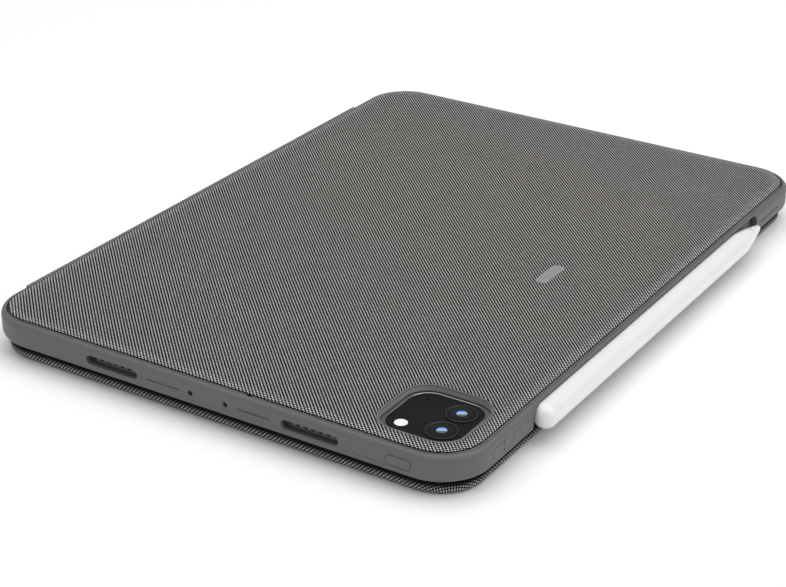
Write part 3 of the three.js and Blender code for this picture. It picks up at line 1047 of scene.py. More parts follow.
CLOTH = WovenCloth("two_tone_weave", "woven_cloth")
BUMPER = Moulded("bumper_rubber", "bumper", level=0.112, roughness=0.52)
PAD = Moulded("bumper_pad", "bumper", level=0.112, roughness=0.5)
PLASTIC = Moulded("dark_plastic", "dark_plastic", level=0.07, roughness=0.48)
KEYCAP = Moulded("keycap", "keycap", level=0.035, roughness=0.5, grain=7000.0, depth=0.00002)
TRACKPAD = Moulded("trackpad_face", "dark_plastic", level=0.09, roughness=0.36, depth=0.00001)
BOARD = Board("circuit_board", "board")
FILM = Gloss("pale_film", "pale_film", level=0.55, roughness=0.35)
BADGE = Metal("badge_foil", "pale_film", colour=(0.44, 0.44, 0.44), roughness=0.45, drawn=3.0)
STEEL = Metal("drawn_steel", "steel")
GOLD = Metal("gilt_contact", "gold", colour=(0.82, 0.58, 0.22), roughness=0.28, drawn=2.0)
PILE = Suede("liner_suede", "suede")
ALUMINIUM = Metal(
    "blasted_aluminium", "tablet_metal", colour=(0.20, 0.20, 0.205), roughness=0.5, drawn=1.0, scale=6000.0,
)
RING = Metal("polished_ring", "tablet_metal", colour=(0.32, 0.32, 0.33), roughness=0.22, drawn=1.0)
SCREEN = Glass("screen_glass", "dark_glass")
ISLAND = Glass("island_glass", "dark_glass", colour=(0.009, 0.0095, 0.010), roughness=0.3, coat=0.0, specular=0.05)
WHITE = Gloss("stylus_gloss", "white_plastic", level=0.80, roughness=0.14)
FLASH = Gloss("flash_lens", "white_plastic", level=0.9, warmth=0.02, roughness=0.25)
# Near-black symbols on the volume pads: painted shade where the symbols' shadows fall.
SYMBOL_SHADE = Moulded("symbol_painted_shade", "bumper", level=0.012, roughness=0.6)
# Near-black plates behind the speaker holes: painted shade for the dark inside the holes.
MESH = Moulded("speaker_hole_shade", "dark_plastic", level=0.008, roughness=0.8)
LIP = Moulded("window_lip_plastic", "dark_plastic", level=0.16, roughness=0.4)
LENS_RING = Metal("lens_ring", "tablet_metal", colour=(0.05, 0.05, 0.052), roughness=0.4, drawn=1.0)


# ------------------------------------------------------------------ sub-assemblies
@dataclass
class Plan:
    """The outline that deck, back and bumper share, and the case's main heights."""

    corner: float = 14.8
    steps: int = 30

    def __post_init__(self) -> None:
        """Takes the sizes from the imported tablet, bumper and cloth."""
        low, high = span("tablet_body")
        self.half_x, self.half_y = float(high[0]), float(high[1])
        self.screen_z, self.tablet_back = float(low[2]), float(high[2])
        low, high = span("bumper_frame")
        self.face_x, self.face_y = float(high[0]), float(high[1])
        self.lip_bottom, self.plate_top = float(low[2]), float(high[2])
        self.wall = self.face_x - self.half_x
        self.cloth_top = float(span("upper_back_fabric")[1][2])
        self.port_z = float(middle("power_button")[2])
        self.crease_y = float(middle("hinge_pin_left")[1])
        self.window = middle("camera_island")

    @property
    def outline(self) -> Outline:
        """The tablet's outline."""
        return Outline(self.half_x, self.half_y, self.corner, steps=self.steps)

    def window_outline(self, size: float, corner: float, steps: int = 16) -> Outline:
        """A square with round corners about the camera window's middle.

        Args:
            size: Its side.
            corner: Its corner's radius.
            steps: Stretches per corner.

        Returns:
            The outline.
        """
        centre = (float(self.window[0]), float(self.window[1]))
        return Outline(size / 2, size / 2, corner, centre, steps)


@dataclass
class Bumper:
    """The moulded frame round the tablet, with its windows, slots and notch."""

    plan: Plan
    sound_offset: float = 37.6
    sound_length: float = 20.4
    port_shift: float = -1.5
    lip_reach: float = 1.6
    clearance: float = 0.2
    ease: float = 0.22

    def section(self) -> Section:
        """The frame's section.

        Returns:
            Its points as offsets from the tablet's outline and heights.
        """
        p = self.plan
        bottom, top, wall = p.lip_bottom, p.plate_top, p.wall
        return [
            *arc((-self.lip_reach + 0.4, bottom + 0.4), (0.4, 0.4), 180, 270, 4),
            *arc((wall - 1.8, bottom + 2.6), (1.8, 2.6), -90, 0, 12),
            *arc((wall - 2.0, top - 2.0), (2.0, 2.0), 0, 90, 12)[:-1],
            *arc((self.clearance + 0.5, top - 0.6), (0.5, 0.6), 90, 180, 5),
            (self.clearance, p.screen_z - 0.1),
            *arc((-self.lip_reach + 0.2, p.screen_z - 0.3), (0.2, 0.2), 90, 180, 3),
        ]

    def side_cut(self, outline: Outline, sign: int, depth: float) -> Solid:
        """A cut from a short side's face inwards.

        Args:
            outline: Its shape in y and z.
            sign: Which short side.
            depth: How deep it goes.

        Returns:
            The cutting solid.
        """
        face = self.plan.face_x
        return Solid.prism(outline, Axis.X, sign * (face - depth), sign * (face + 1))

    def front_cut(self, outline: Outline, depth: float) -> Solid:
        """A cut from the stylus side's face inwards.

        Args:
            outline: Its shape in x and z.
            depth: How deep it goes.

        Returns:
            The cutting solid.
        """
        face = self.plan.face_y
        return Solid.prism(outline, Axis.Y, -face - 1, -face + depth)

    def windows(self) -> list[Solid]:
        """Every opening and engraved line in the frame's walls.

        Returns:
            The cutting solids.
        """
        z, middle_y = self.plan.port_z, self.port_shift
        through = self.plan.wall
        cuts = []
        for _, sign in SIDES:
            for _, half in SIDES:
                slot = slot_outline(self.sound_length, 3, middle_y + half * self.sound_offset, z)
                cuts.append(self.side_cut(slot, sign, through))
        for _, half in SIDES:
            cuts.append(self.side_cut(disc_outline(0.85, middle_y + half * 6.6, z), -1, through))
            cuts.append(self.side_cut(slot_outline(12.1, 0.5, middle_y + half * 17.3, z, 4), -1, 0.3))
        cuts.append(self.side_cut(slot_outline(13, 5.4, middle_y, z - 0.1), 1, through))
        pad = span("power_button")
        cuts.append(self.side_cut(self.pad_hole(pad, 1), -1, through + 1))
        for node in ("volume_up_button", "volume_down_button"):
            cuts.append(self.front_cut(self.pad_hole(span(node), 0), through + 1))
        cuts.append(self.front_cut(slot_outline(16, 0.5, 96, z - 0.3, 4), 0.3))
        return cuts

    def pad_hole(self, pad: tuple[np.ndarray, np.ndarray], axis: int) -> Outline:
        """The hole round a button's pad.

        Args:
            pad: The pad's corners.
            axis: Its long axis, 0 for x and 1 for y.

        Returns:
            The hole, a little larger than the pad.
        """
        low, high = pad
        size, height = high[axis] - low[axis], high[2] - low[2]
        place = (low + high) / 2
        gap = 0.15 if axis else 0.02
        return slot_outline(size + gap, height + gap, float(place[axis]), float(place[2]))

    def spine_side(self) -> list[Solid]:
        """The connector's pocket and the recesses for the keeper plates.

        Returns:
            The cutting solids.
        """
        low, high = span("case_contacts")
        half, z = (high[0] - low[0]) / 2 + 0.2, (high[2] + low[2]) / 2
        pocket = Outline(half, 1.25, 1.2, (0.0, z), 8)
        cuts = [Solid.prism(pocket, Axis.Y, low[1] - 0.05, self.plan.face_y + 1)]
        for side, _ in SIDES:
            low, high = span(f"keeper_plate_{side}")
            near = (low[0] - 0.2, low[1] - 0.4, low[2] - 0.2)
            far = (high[0] + 0.2, high[1] + 0.15, high[2] + 0.2)
            cuts.append(Solid.block(near, far))
        return cuts

    def notch(self) -> Solid:
        """The gap in the wall that the stylus lies in.

        Returns:
            The cutting solid.
        """
        barrel, tip = span("stylus_barrel"), span("stylus_tip")
        start, end = barrel[0][0] - 0.7, tip[1][0] + 1.5
        top = self.plan.plate_top - 0.65
        outline = Outline((end - start) / 2, 10, 3, ((start + end) / 2, top - 10), 12)
        return Solid.prism(outline, Axis.Y, -self.plan.face_y - 1, -self.plan.half_y + 3)

    def build(self) -> None:
        """Makes the frame and the three pads in it."""
        p = self.plan
        frame_solid = Solid.along(p.outline, self.section(), ring=True)
        cut = frame_solid.worked(Cut.AWAY, *self.windows(), *self.spine_side())
        notched = cut.worked(Cut.AWAY, self.notch())

        def on_face(at: Vector) -> bool:
            """Tells whether a point lies on an outer face.

            Args:
                at: The point.

            Returns:
                True for a face's edges that are to be eased.
            """
            near_x = abs(at.x) > p.face_x - 0.12 and abs(at.y) < p.half_y - 8
            near_y = abs(at.y) > p.face_y - 0.12
            return (near_x or near_y) and p.lip_bottom + 1.2 < at.z < p.plate_top - 0.4

        eased = notched.eased(self.ease, on_face)
        make_piece("bumper", eased, BUMPER, "case", ["bumper_frame"], smooth=40)
        self.build_pads()

    def build_pads(self) -> None:
        """Makes the button pads, each a piece of the frame's own wall with its mark."""
        p = self.plan
        z = p.port_z
        pads = (("power_button", "power_pad", 1), ("volume_up_button", "volume_up_pad", 0),
                ("volume_down_button", "volume_down_pad", 0))
        for node, body, axis in pads:
            low, high = span(node)
            place, size = (low + high) / 2, high - low
            outline = slot_outline(float(size[axis]), float(size[2]), float(place[axis]), float(place[2]))
            face = p.wall + (0.08 if axis else 0.015)
            shell = Solid.along(p.outline, [(0.6, z - 3), (face, z - 3), (face, z + 3), (0.6, z + 3)], ring=True)
            cutter = self.side_cut(outline, -1, 4) if axis else self.front_cut(outline, 4)
            pad = shell.worked(Cut.KEEP, cutter)
            limit, depth = (0, p.half_x + 1.9) if axis else (1, p.half_y + 1.7)
            if axis:
                pad = pad.eased(0.12, lambda at, i=limit, far=depth: at[i] < -far)
            make_piece(node, pad, PAD, body, [node], smooth=40)
        self.build_marks()

    def build_marks(self) -> None:
        """Makes the small dark pieces on the volume pads: painted shade for the shadows of their symbols."""
        p = self.plan
        z, x = p.port_z, float(middle("volume_up_button")[0])
        low = float(middle("volume_down_button")[0])
        marks = (
            ("volume_up_bar", "volume_up_pad", x + 1.7, z + 0.95, 0.34, 1.5),
            ("volume_up_foot", "volume_up_pad", x + 1.7, z - 1.1, 0.34, 1.3),
            ("volume_up_dot", "volume_up_pad", x - 0.4, z - 0.5, 0.5, 0.7),
            ("volume_down_dot", "volume_down_pad", low, z + 0.5, 0.55, 0.8),
        )
        shell = Solid.along(
            p.outline, [(1.7, z - 3), (p.wall + 0.03, z - 3), (p.wall + 0.03, z + 3), (1.7, z + 3)], ring=True
        )
        for name, body, at, height, width, tall in marks:
            outline = Outline(width / 2, tall / 2, min(width, tall) / 2 - 0.01, (at, height), 4)
            make_piece(name, shell.worked(Cut.KEEP, self.front_cut(outline, 4)), SYMBOL_SHADE, body, smooth=40)


@dataclass
class Back:
    """The rigid back, its window, the kickstand and the cloth over both."""

    plan: Plan
    window_size: float = 29.1
    window_corner: float = 8.4
    roll: float = 4.6
    crease_depth: float = 0.03

    def cloth_section(self) -> Section:
        """The cloth's edge, from underneath to where it lies flat.

        Returns:
            Its points as offsets from the tablet's outline and heights.
        """
        top, low = self.plan.cloth_top, self.plan.plate_top + 0.05
        fall, inset = 0.26, 0.06
        soft = [(-self.roll + (self.roll - 0.45) * s, top - fall * s * s) for s in (1.0, 0.8, 0.6, 0.4, 0.2, 0.0)]
        side = arc((-0.45, (top - fall + low) / 2), (0.45 - inset, (top - fall - low) / 2), -90, 90, 10)
        return [*side[:-1], *soft]

    def build(self) -> None:
        """Makes cloth, liner, panel, collar, kickstand plate and badge."""
        p = self.plan
        self.build_cloth()
        hole = Solid.prism(p.window_outline(self.window_size, self.window_corner), Axis.Z, 11, 16)
        low, high = span("case_liner")
        liner = Solid.along(p.outline, [(-0.1, low[2]), (-0.1, high[2])]).worked(Cut.AWAY, hole)
        lining = make_piece("case_lining", liner, PILE, "case", ["case_liner"])
        self.build_panel(hole)
        self.build_collar()
        self.build_kickstand()
        self.build_badge()

    def build_cloth(self) -> None:
        """Makes the one sheet of cloth that covers panel and kickstand."""
        p = self.plan
        section = self.cloth_section()
        body = Solid.along(p.outline, section)
        opening = p.window_outline(self.window_size + 1.25, self.window_corner + 0.62)
        x, y = float(p.window[0]), float(p.window[1])
        body = body.sliced(Axis.X, [x - 16.6, x, x + 16.6]).sliced(Axis.Y, [y - 16.6, y, y + 16.6])
        body = body.worked(Cut.AWAY, Solid.prism(opening, Axis.Z, 13, 16))
        rim = span("upper_back_fabric")[1][2] - 0.06
        body = body.eased(0.3, lambda at: at.z > rim and self.near_window(at), segments=3)
        places = [p.crease_y + 0.16 * i for i in range(-10, 11)]
        body = body.sliced(Axis.Y, places)

        def pressed(points: np.ndarray) -> np.ndarray:
            """Presses the crease into the cloth.

            Args:
                points: Rows of x, y, z.

            Returns:
                The rows with the crease pressed in.
            """
            away = (points[:, 1] - p.crease_y) / 0.42
            high = np.clip((points[:, 2] - p.plate_top - 0.1) / 0.5, 0, 1)
            points[:, 2] -= self.crease_depth * np.exp(-away * away) * high
            return points

        # Near the outer edge of the top, from 0.3 mm to 2.2 mm out along the cloth, it is lightened as a painted
        # highlight; from the side on, its cut edge is drawn almost black.
        lay = Roll(p.outline, -self.roll, p.cloth_top, tuple(reversed(section)), (0.3, 2.2), (self.roll - 0.32, 99.0))
        weave = lay.lay(body.points())
        body.moved(pressed)
        cloth = make_piece(
            "back_cloth", body, CLOTH, "case", ["upper_back_fabric", "kickstand_fabric"], smooth=60,
            weave=weave, ride=False,
        )
        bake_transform(cloth)

    def near_window(self, at: Vector) -> bool:
        """Tells whether a point lies close to the camera window."""
        window = self.plan.window
        return abs(at.x - window[0]) < 16.2 and abs(at.y - window[1]) < 16.2

    def hinge_pockets(self, side: str) -> list[Solid]:
        """Pockets for the hinge leaves.

        Args:
            side: fixed for the panel's, moving for the kickstand's.

        Returns:
            The cutting solids.
        """
        pockets = []
        for hand, _ in SIDES:
            low, high = span(f"hinge_leaf_{side}_{hand}")
            near = self.plan.crease_y + (-0.5 if side == "fixed" else 0.5)
            far = low[1] - 0.3 if side == "fixed" else high[1] + 0.3
            pockets.append(
                Solid.block(
                    (low[0] - 0.2, min(near, far), low[2] - 0.1),
                    (high[0] + 0.2, max(near, far), self.plan.plate_top + 0.02),
                )
            )
        return pockets

    def build_panel(self, hole: Solid) -> None:
        """Makes the rigid panel, thin under the kickstand.

        Args:
            hole: The camera window's cutting solid.
        """
        p = self.plan
        low = float(span("back_panel")[0][2])
        floor = float(span("kickstand_plate")[0][2]) - 0.15
        edge = [(-0.25, low), (-0.05, low + 0.2), (-0.05, p.plate_top - 0.2), (-0.25, p.plate_top)]
        slab = Solid.along(p.outline, edge)
        recess = Solid.block((-200, p.crease_y - 0.95, floor), (200, 200, 20))
        panel = slab.worked(Cut.AWAY, recess).worked(Cut.AWAY, hole, *self.hinge_pockets("fixed"))
        make_piece("back_panel_plate", panel, PLASTIC, "case", ["back_panel"])

    def build_collar(self) -> None:
        """Makes the lip round the camera window."""
        p = self.plan
        outline = p.window_outline(self.window_size, self.window_corner)
        top = p.cloth_top - 0.08
        section = [
            (0.0, p.tablet_back + 0.3), (0.5, p.tablet_back + 0.3), *arc((0.3, top - 0.2), (0.2, 0.2), 0, 90, 4),
            *arc((0.2, top - 0.2), (0.2, 0.2), 90, 180, 4),
        ]
        inner = [(offset + 0.02 if offset < 0.4 else offset, z) for offset, z in section]
        make_piece("window_lip", Solid.along(outline, inner, ring=True), LIP, "case")

    def build_kickstand(self) -> None:
        """Makes the kickstand's plate."""
        p = self.plan
        low, high = span("kickstand_plate")
        slab = Solid.along(
            p.outline, [(-0.35, low[2]), (-0.05, low[2] + 0.25), (-0.05, high[2] - 0.2), (-0.25, high[2])]
        )
        ahead = Solid.block((-200, -200, 12), (200, p.crease_y + 0.95, 20))
        plate = slab.worked(Cut.AWAY, ahead).worked(Cut.AWAY, *self.hinge_pockets("moving"))
        make_piece("kickstand_panel", plate, PLASTIC, "kickstand", ["kickstand_plate"])

    def build_badge(self) -> None:
        """Makes the plain plate on the cloth."""
        low, high = span("back_badge")
        size, place = high - low, (high + low) / 2
        outline = slot_outline(float(size[0]), float(size[1]), float(place[0]), float(place[1]), 12)
        section = [(-0.02, low[2]), *arc((-0.12, high[2] - 0.1), (0.12, 0.1), 0, 90, 4)]
        make_piece("badge", Solid.along(outline, section), BADGE, "case", ["back_badge"])


@dataclass
class Tablet:
    """The tablet in the case, with its screen and its camera plateau."""

    plan: Plan
    screen_inset: float = 0.45
    lens_radius: float = 5.1

    def build(self) -> None:
        """Makes shell, screen and camera plateau."""
        self.build_shell()
        self.build_screen()
        self.build_cameras()

    def build_shell(self) -> None:
        """Makes the metal shell with its sound holes and its port, and near-black plates behind the holes as painted
        shade.
        """
        p = self.plan
        low, high = p.screen_z, p.tablet_back
        body = Solid.along(
            p.outline,
            [*arc((-0.55, low + 0.55), (0.55, 0.55), -90, 0, 6), *arc((-0.9, high - 0.9), (0.9, 0.9), 0, 90, 8)],
        )
        seat_top = span("tablet_screen")[1][2] + 0.05
        seat = Solid.along(p.outline, [(-self.screen_inset, 0), (-self.screen_inset, seat_top)])
        holes, plates = [], []
        y, z = -1.5, p.port_z + 0.1
        for name, sign in SIDES:
            for _, half in SIDES:
                along = y + half * 37.6
                for n in range(7):
                    hole = disc_outline(1.0, along + (n - 3) * 2.75, z + 0.3)
                    holes.append(Solid.prism(hole, Axis.X, sign * (p.half_x - 1.4), sign * (p.half_x + 0.8)))
                # A near-black plate behind each row of holes stands in for the shade inside them.
                mesh = Outline(9.6, 1.35, 1.3, (along, z - 0.15), 6)
                plate = Solid.prism(mesh, Axis.X, sign * (p.half_x - 1.5), sign * (p.half_x - 0.5))
                plates.append((f"speaker_hole_shade_{name}_{'rear' if half > 0 else 'front'}", plate))
        holes.append(Solid.prism(slot_outline(8.6, 2.9, y, z - 0.2), Axis.X, p.half_x - 3, p.half_x + 1))
        body = body.worked(Cut.AWAY, seat).worked(Cut.AWAY, *holes)
        make_piece("tablet_shell", body, ALUMINIUM, "case", ["tablet_body"])
        for name, plate in plates:
            make_piece(name, plate, MESH, "case")

    def build_screen(self) -> None:
        """Makes the glass, with its edge eased."""
        p = self.plan
        low, high = span("tablet_screen")
        edge = -self.screen_inset - 0.05
        section = [*arc((edge - 0.3, low[2] + 0.3), (0.3, 0.3), -90, 0, 5), (edge, high[2])]
        make_piece("screen_glass_plate", Solid.along(p.outline, section), SCREEN, "case", ["tablet_screen"])

    def build_cameras(self) -> None:
        """Makes the plateau, its metal edge, the lenses, the flash and the sensor."""
        p = self.plan
        low, high = span("camera_island")
        size = float(high[0] - low[0])
        outline = p.window_outline(size, 7.4)
        top = float(high[2])
        seats = []
        for node in ("camera_lens_1", "camera_lens_2", "camera_flash", "depth_sensor"):
            a, b = span(node)
            at, radius = (a + b) / 2, (b[0] - a[0]) / 2
            circle = disc_outline(radius + 0.04, float(at[0]), float(at[1]), 16)
            seats.append(Solid.prism(circle, Axis.Z, a[2] - 0.05, top + 1))
        x, y = float(p.window[0]), float(p.window[1])
        seats.append(Solid.prism(disc_outline(0.5, x + 8.2, y + 7.4, 8), Axis.Z, top - 0.3, top + 1))
        section = [(-0.55, low[2]), (-0.55, top - 0.12), (-0.67, top)]
        plateau = Solid.along(outline, section).worked(Cut.AWAY, *seats)
        make_piece("camera_plateau", plateau, ISLAND, "case", ["camera_island"])
        rim = [(-0.5, low[2]), (0.0, low[2]), *arc((-0.25, top - 0.15), (0.25, 0.25), 0, 180, 8)]
        make_piece("plateau_rim", Solid.along(outline, rim, ring=True), RING, "case")
        for node in ("camera_lens_1", "camera_lens_2"):
            self.build_lens(node)
        self.build_round("camera_flash", FLASH)
        self.build_round("depth_sensor", ISLAND)

    def build_lens(self, node: str) -> None:
        """Makes one lens: a metal ring, a black step and a domed glass.

        Args:
            node: The CAD node it stands for.
        """
        low, high = span(node)
        at, radius = (low + high) / 2, float(high[0] - low[0]) / 2
        x, y, top = float(at[0]), float(at[1]), float(high[2])
        circle = disc_outline(radius, x, y, 20)
        ring = [
            (-0.6, low[2]), (0.0, low[2]), *arc((-0.18, top - 0.18), (0.18, 0.18), 0, 90, 4), (-0.42, top),
            (-0.6, top - 0.18),
        ]
        make_piece(node + "_ring", Solid.along(circle, ring, ring=True), LENS_RING, "case", [node])
        dome = [(-0.62, low[2] + 0.1), (-0.62, top - 0.22), (-1.6, top - 0.16), (-2.6, top - 0.12), (-4.0, top - 0.1)]
        finish = CoatedLens(node + "_coating_and_reflection", "dark_glass", (x, y), radius - 0.62)
        make_piece(node + "_glass", Solid.along(circle, dome), finish, "case")

    def build_round(self, node: str, finish: Finish) -> None:
        """Makes a small round window.

        Args:
            node: The CAD node it stands for.
            finish: Its finish.
        """
        low, high = span(node)
        at, radius = (low + high) / 2, float(high[0] - low[0]) / 2
        circle = disc_outline(radius, float(at[0]), float(at[1]), 16)
        section = [(0, low[2]), (0, high[2] - 0.1), (-0.1, high[2] - 0.02), (-radius * 0.6, high[2])]
        make_piece(node + "_window", Solid.along(circle, section), finish, "case", [node])


@dataclass
class Stylus:
    """The white stylus held against the tablet's edge."""

    plan: Plan
    cone: float = 19.0
    nose: float = 0.9

    def build(self) -> None:
        """Makes the barrel with its flat side, and the tip."""
        low, high = span("stylus_barrel")
        tip_low, tip_high = span("stylus_tip")
        radius = float(high[2] - low[2]) / 2
        y, z = float(low[1]) + radius, float(high[2] + low[2]) / 2
        start, end = float(low[0]), float(tip_high[0])

        def radius_at(x: float) -> float:
            """The stylus's radius at a place along it."""
            share = max(0.0, (x - (end - self.cone)) / self.cone)
            return radius - (radius - self.nose) * share**1.35

        dome = [
            (start + radius * (1 - math.cos(a)), radius * math.sin(a))
            for a in (math.pi / 2 * i / 14 for i in range(15))
        ]
        split = float(high[0])
        cone = [(x, radius_at(x)) for x in np.linspace(end - self.cone, split - 0.12, 10)]
        profile = [*dome, *cone, (split - 0.03, radius_at(split) - 0.05), (split, radius_at(split) - 0.16)]
        barrel = Solid.turned(profile, y, z)
        flat = Solid.block((start - 5, float(high[1]), z - 9), (end + 5, float(high[1]) + 9, z + 9))
        barrel = barrel.worked(Cut.AWAY, flat)
        edge = float(high[1])
        barrel = barrel.eased(0.25, lambda at: abs(at.y - edge) < 0.01, segments=3, angle=15)
        make_piece("stylus_body", barrel, WHITE, "stylus", ["stylus_barrel"], smooth=40)
        seam = float(tip_low[0])
        last = end - 1.0
        nose = [
            (last + 1.0 * s, self.nose * 1.05 * math.sqrt(max(0.0, 1 - s * s))) for s in (0.3, 0.55, 0.8, 0.95, 1.0)
        ]
        points = [(seam, radius_at(seam) - 0.16), (seam + 0.06, radius_at(seam) - 0.03)]
        points += [(x, radius_at(x)) for x in np.linspace(seam + 0.2, last, 12)]
        make_piece("stylus_nib", Solid.turned([*points, *nose], y, z), WHITE, "stylus", ["stylus_tip"], smooth=40)


@dataclass
class Deck:
    """The keyboard deck: its cloth, the well, the keys and the trackpad."""

    plan: Plan
    pitch: float = 16.5
    gap: float = 2.0
    row_pitch: float = 16.2

    def __post_init__(self) -> None:
        """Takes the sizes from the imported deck."""
        self.top = float(span("deck_outer_fabric")[1][2])
        self.key_top = float(span("number_keys")[1][2])

    def build(self) -> None:
        """Makes cloth, keys and trackpad."""
        self.build_outer()
        self.build_top()
        self.build_keys()
        self.build_trackpad()

    def build_outer(self) -> None:
        """Makes the cloth that wraps the deck's sides and underside."""
        p, top = self.plan, self.top
        side = [*arc((-1.8, 1.8), (1.8, 1.8), -90, 0, 10), *arc((-1.2, top - 1.2), (1.2, 1.2), 0, 90, 10)]
        body = Solid.along(p.outline, [*side, (-1.3, top), (-1.3, 0.6)])
        # Painted shadow: round the deck's top edge, under the bumper's lip, the first 1.95 mm of cloth is drawn almost
        # black; from 1.9 mm on, the side and underside are lightened as a painted highlight.
        lay = Roll(p.outline, -1.2, top, tuple(reversed(side)), (1.9, 2.4), (0.0, 1.95))
        weave = lay.lay(body.points())
        cloth = make_piece("deck_cloth", body, CLOTH, "deck", ["deck_outer_fabric"], smooth=50, weave=weave)

    def build_top(self) -> None:
        """Makes the cloth round the keys and the trackpad."""
        p, top = self.plan, self.top
        low = float(span("deck_top_fabric")[0][2])
        slab = Solid.along(p.outline, [(-1.35, low), (-1.35, top - 0.15), (-1.5, top)])
        keys_low, keys_high = span("function_keys"), span("left_modifier_keys")
        rear, front = keys_low[1][1] + self.gap / 2, keys_high[0][1] - self.gap / 2
        half = float(keys_low[1][0]) + self.gap / 2
        well = Outline(half + 0.3, (rear - front) / 2 + 0.3, 1.5, (0.0, (rear + front) / 2), 6)
        pad_low, pad_high = span("trackpad")
        size, place = pad_high - pad_low, (pad_high + pad_low) / 2
        hole = Outline(size[0] / 2 + 0.35, size[1] / 2 + 0.35, 1.85, (0.0, float(place[1])), 6)
        cuts = [Solid.prism(shape, Axis.Z, low - 1, top + 1) for shape in (well, hole)]
        body = slab.worked(Cut.AWAY, *cuts)
        inner = p.half_y - 1.6
        body = body.eased(0.18, lambda at: at.z > top - 0.02 and abs(at.y) < inner - 0.5 and abs(at.x) < p.half_x - 2)
        weave = np.column_stack([body.points()[:, :2], np.zeros(len(body.mesh.vertices))])
        cloth = make_piece("deck_face_cloth", body, CLOTH, "deck", ["deck_top_fabric"], smooth=50, weave=weave)

    def rows(self) -> list[tuple[str, list[tuple[float, float, float, float]]]]:
        """Every row's keys.

        Returns:
            The CAD node's name and its keys as x, y, width and depth.
        """
        ones = [1.0] * 10
        units = {
            "function_keys": [1.0] * 14,
            "number_keys": [0.75, *[1.0] * 12, 1.25],
            "upper_letter_keys": [1.25, *[1.0] * 12, 0.75],
            "home_keys": [1.5, *[1.0] * 11, 1.5],
            "lower_letter_keys": [2.0, *ones, 2.0],
            "left_modifier_keys": [1.0, 1.0, 1.0, 1.25],
            "space_bar": [4.5],
            "right_modifier_keys": [1.25, 1.0],
            "arrow_keys": [1.0, 0.0, 1.0],
        }
        rows = []
        for node, widths in units.items():
            low, high = span(node)
            x = float(low[0]) - self.gap / 2
            y = float(low[1] + high[1]) / 2
            depth = float(high[1] - low[1])
            keys = []
            for unit in widths:
                width = (unit or 1.0) * self.pitch
                at = x + width / 2
                if unit:
                    keys.append((at, y, width - self.gap, depth))
                else:
                    part = depth / 2 - 0.4
                    keys += [(at, y + side * (depth / 4 + 0.2), width - self.gap, part) for side in (1, -1)]
                x += width
            rows.append((node, keys))
        return rows

    def keycap(self, x: float, y: float, width: float, depth: float) -> Solid:
        """One keycap with a dished top.

        Args:
            x: Its middle.
            y: Its middle.
            width: Its width.
            depth: Its depth.

        Returns:
            The cap.
        """
        outline = Outline(width / 2, depth / 2, 1.2, (x, y), 5)
        top, base = self.key_top, 2.9
        section = [
            (-0.15, base), (0.0, base + 0.2), (0.0, top - 0.55), (-0.06, top - 0.3), (-0.2, top - 0.12), (-0.42, top - 0.02),
            (-0.7, top), (-1.15, top - 0.025),
        ]
        loops = [outline.level(offset, z) for offset, z in section]
        for share, z in ((0.72, top - 0.07), (0.45, top - 0.11), (0.2, top - 0.13)):
            ring = outline.loop(-1.15) - np.array([x, y])
            ring = ring * share + np.array([x, y])
            loops.append(np.column_stack([ring, np.full(len(ring), z)]))
        return Solid.skinned(loops)

    def build_keys(self) -> None:
        """Makes every keycap, and the carrier strip under each row."""
        for node, keys in self.rows():
            body = node + "_row"
            for number, key in enumerate(keys, 1):
                make_piece(f"{node}_cap_{number:02d}", self.keycap(*key), KEYCAP, body, [node], smooth=50)
            low, high = span(node)
            y = float(low[1] + high[1]) / 2
            strip = Solid.block((low[0] + 4, y - 2.5, low[2]), (high[0] - 4, y + 2.5, 2.85))
            strip = strip.eased(0.1, lambda at: True)
            make_piece(f"{node}_carrier", strip, KEYCAP, body)

    def build_trackpad(self) -> None:
        """Makes the trackpad's plate."""
        low, high = span("trackpad")
        size, place = high - low, (high + low) / 2
        outline = Outline(size[0] / 2, size[1] / 2, 1.5, (0.0, float(place[1])), 8)
        section = [(0, low[2]), *arc((-0.2, high[2] - 0.2), (0.2, 0.2), 0, 90, 4)]
        make_piece("trackpad_face", Solid.along(outline, section), TRACKPAD, "trackpad_plate", ["trackpad"])


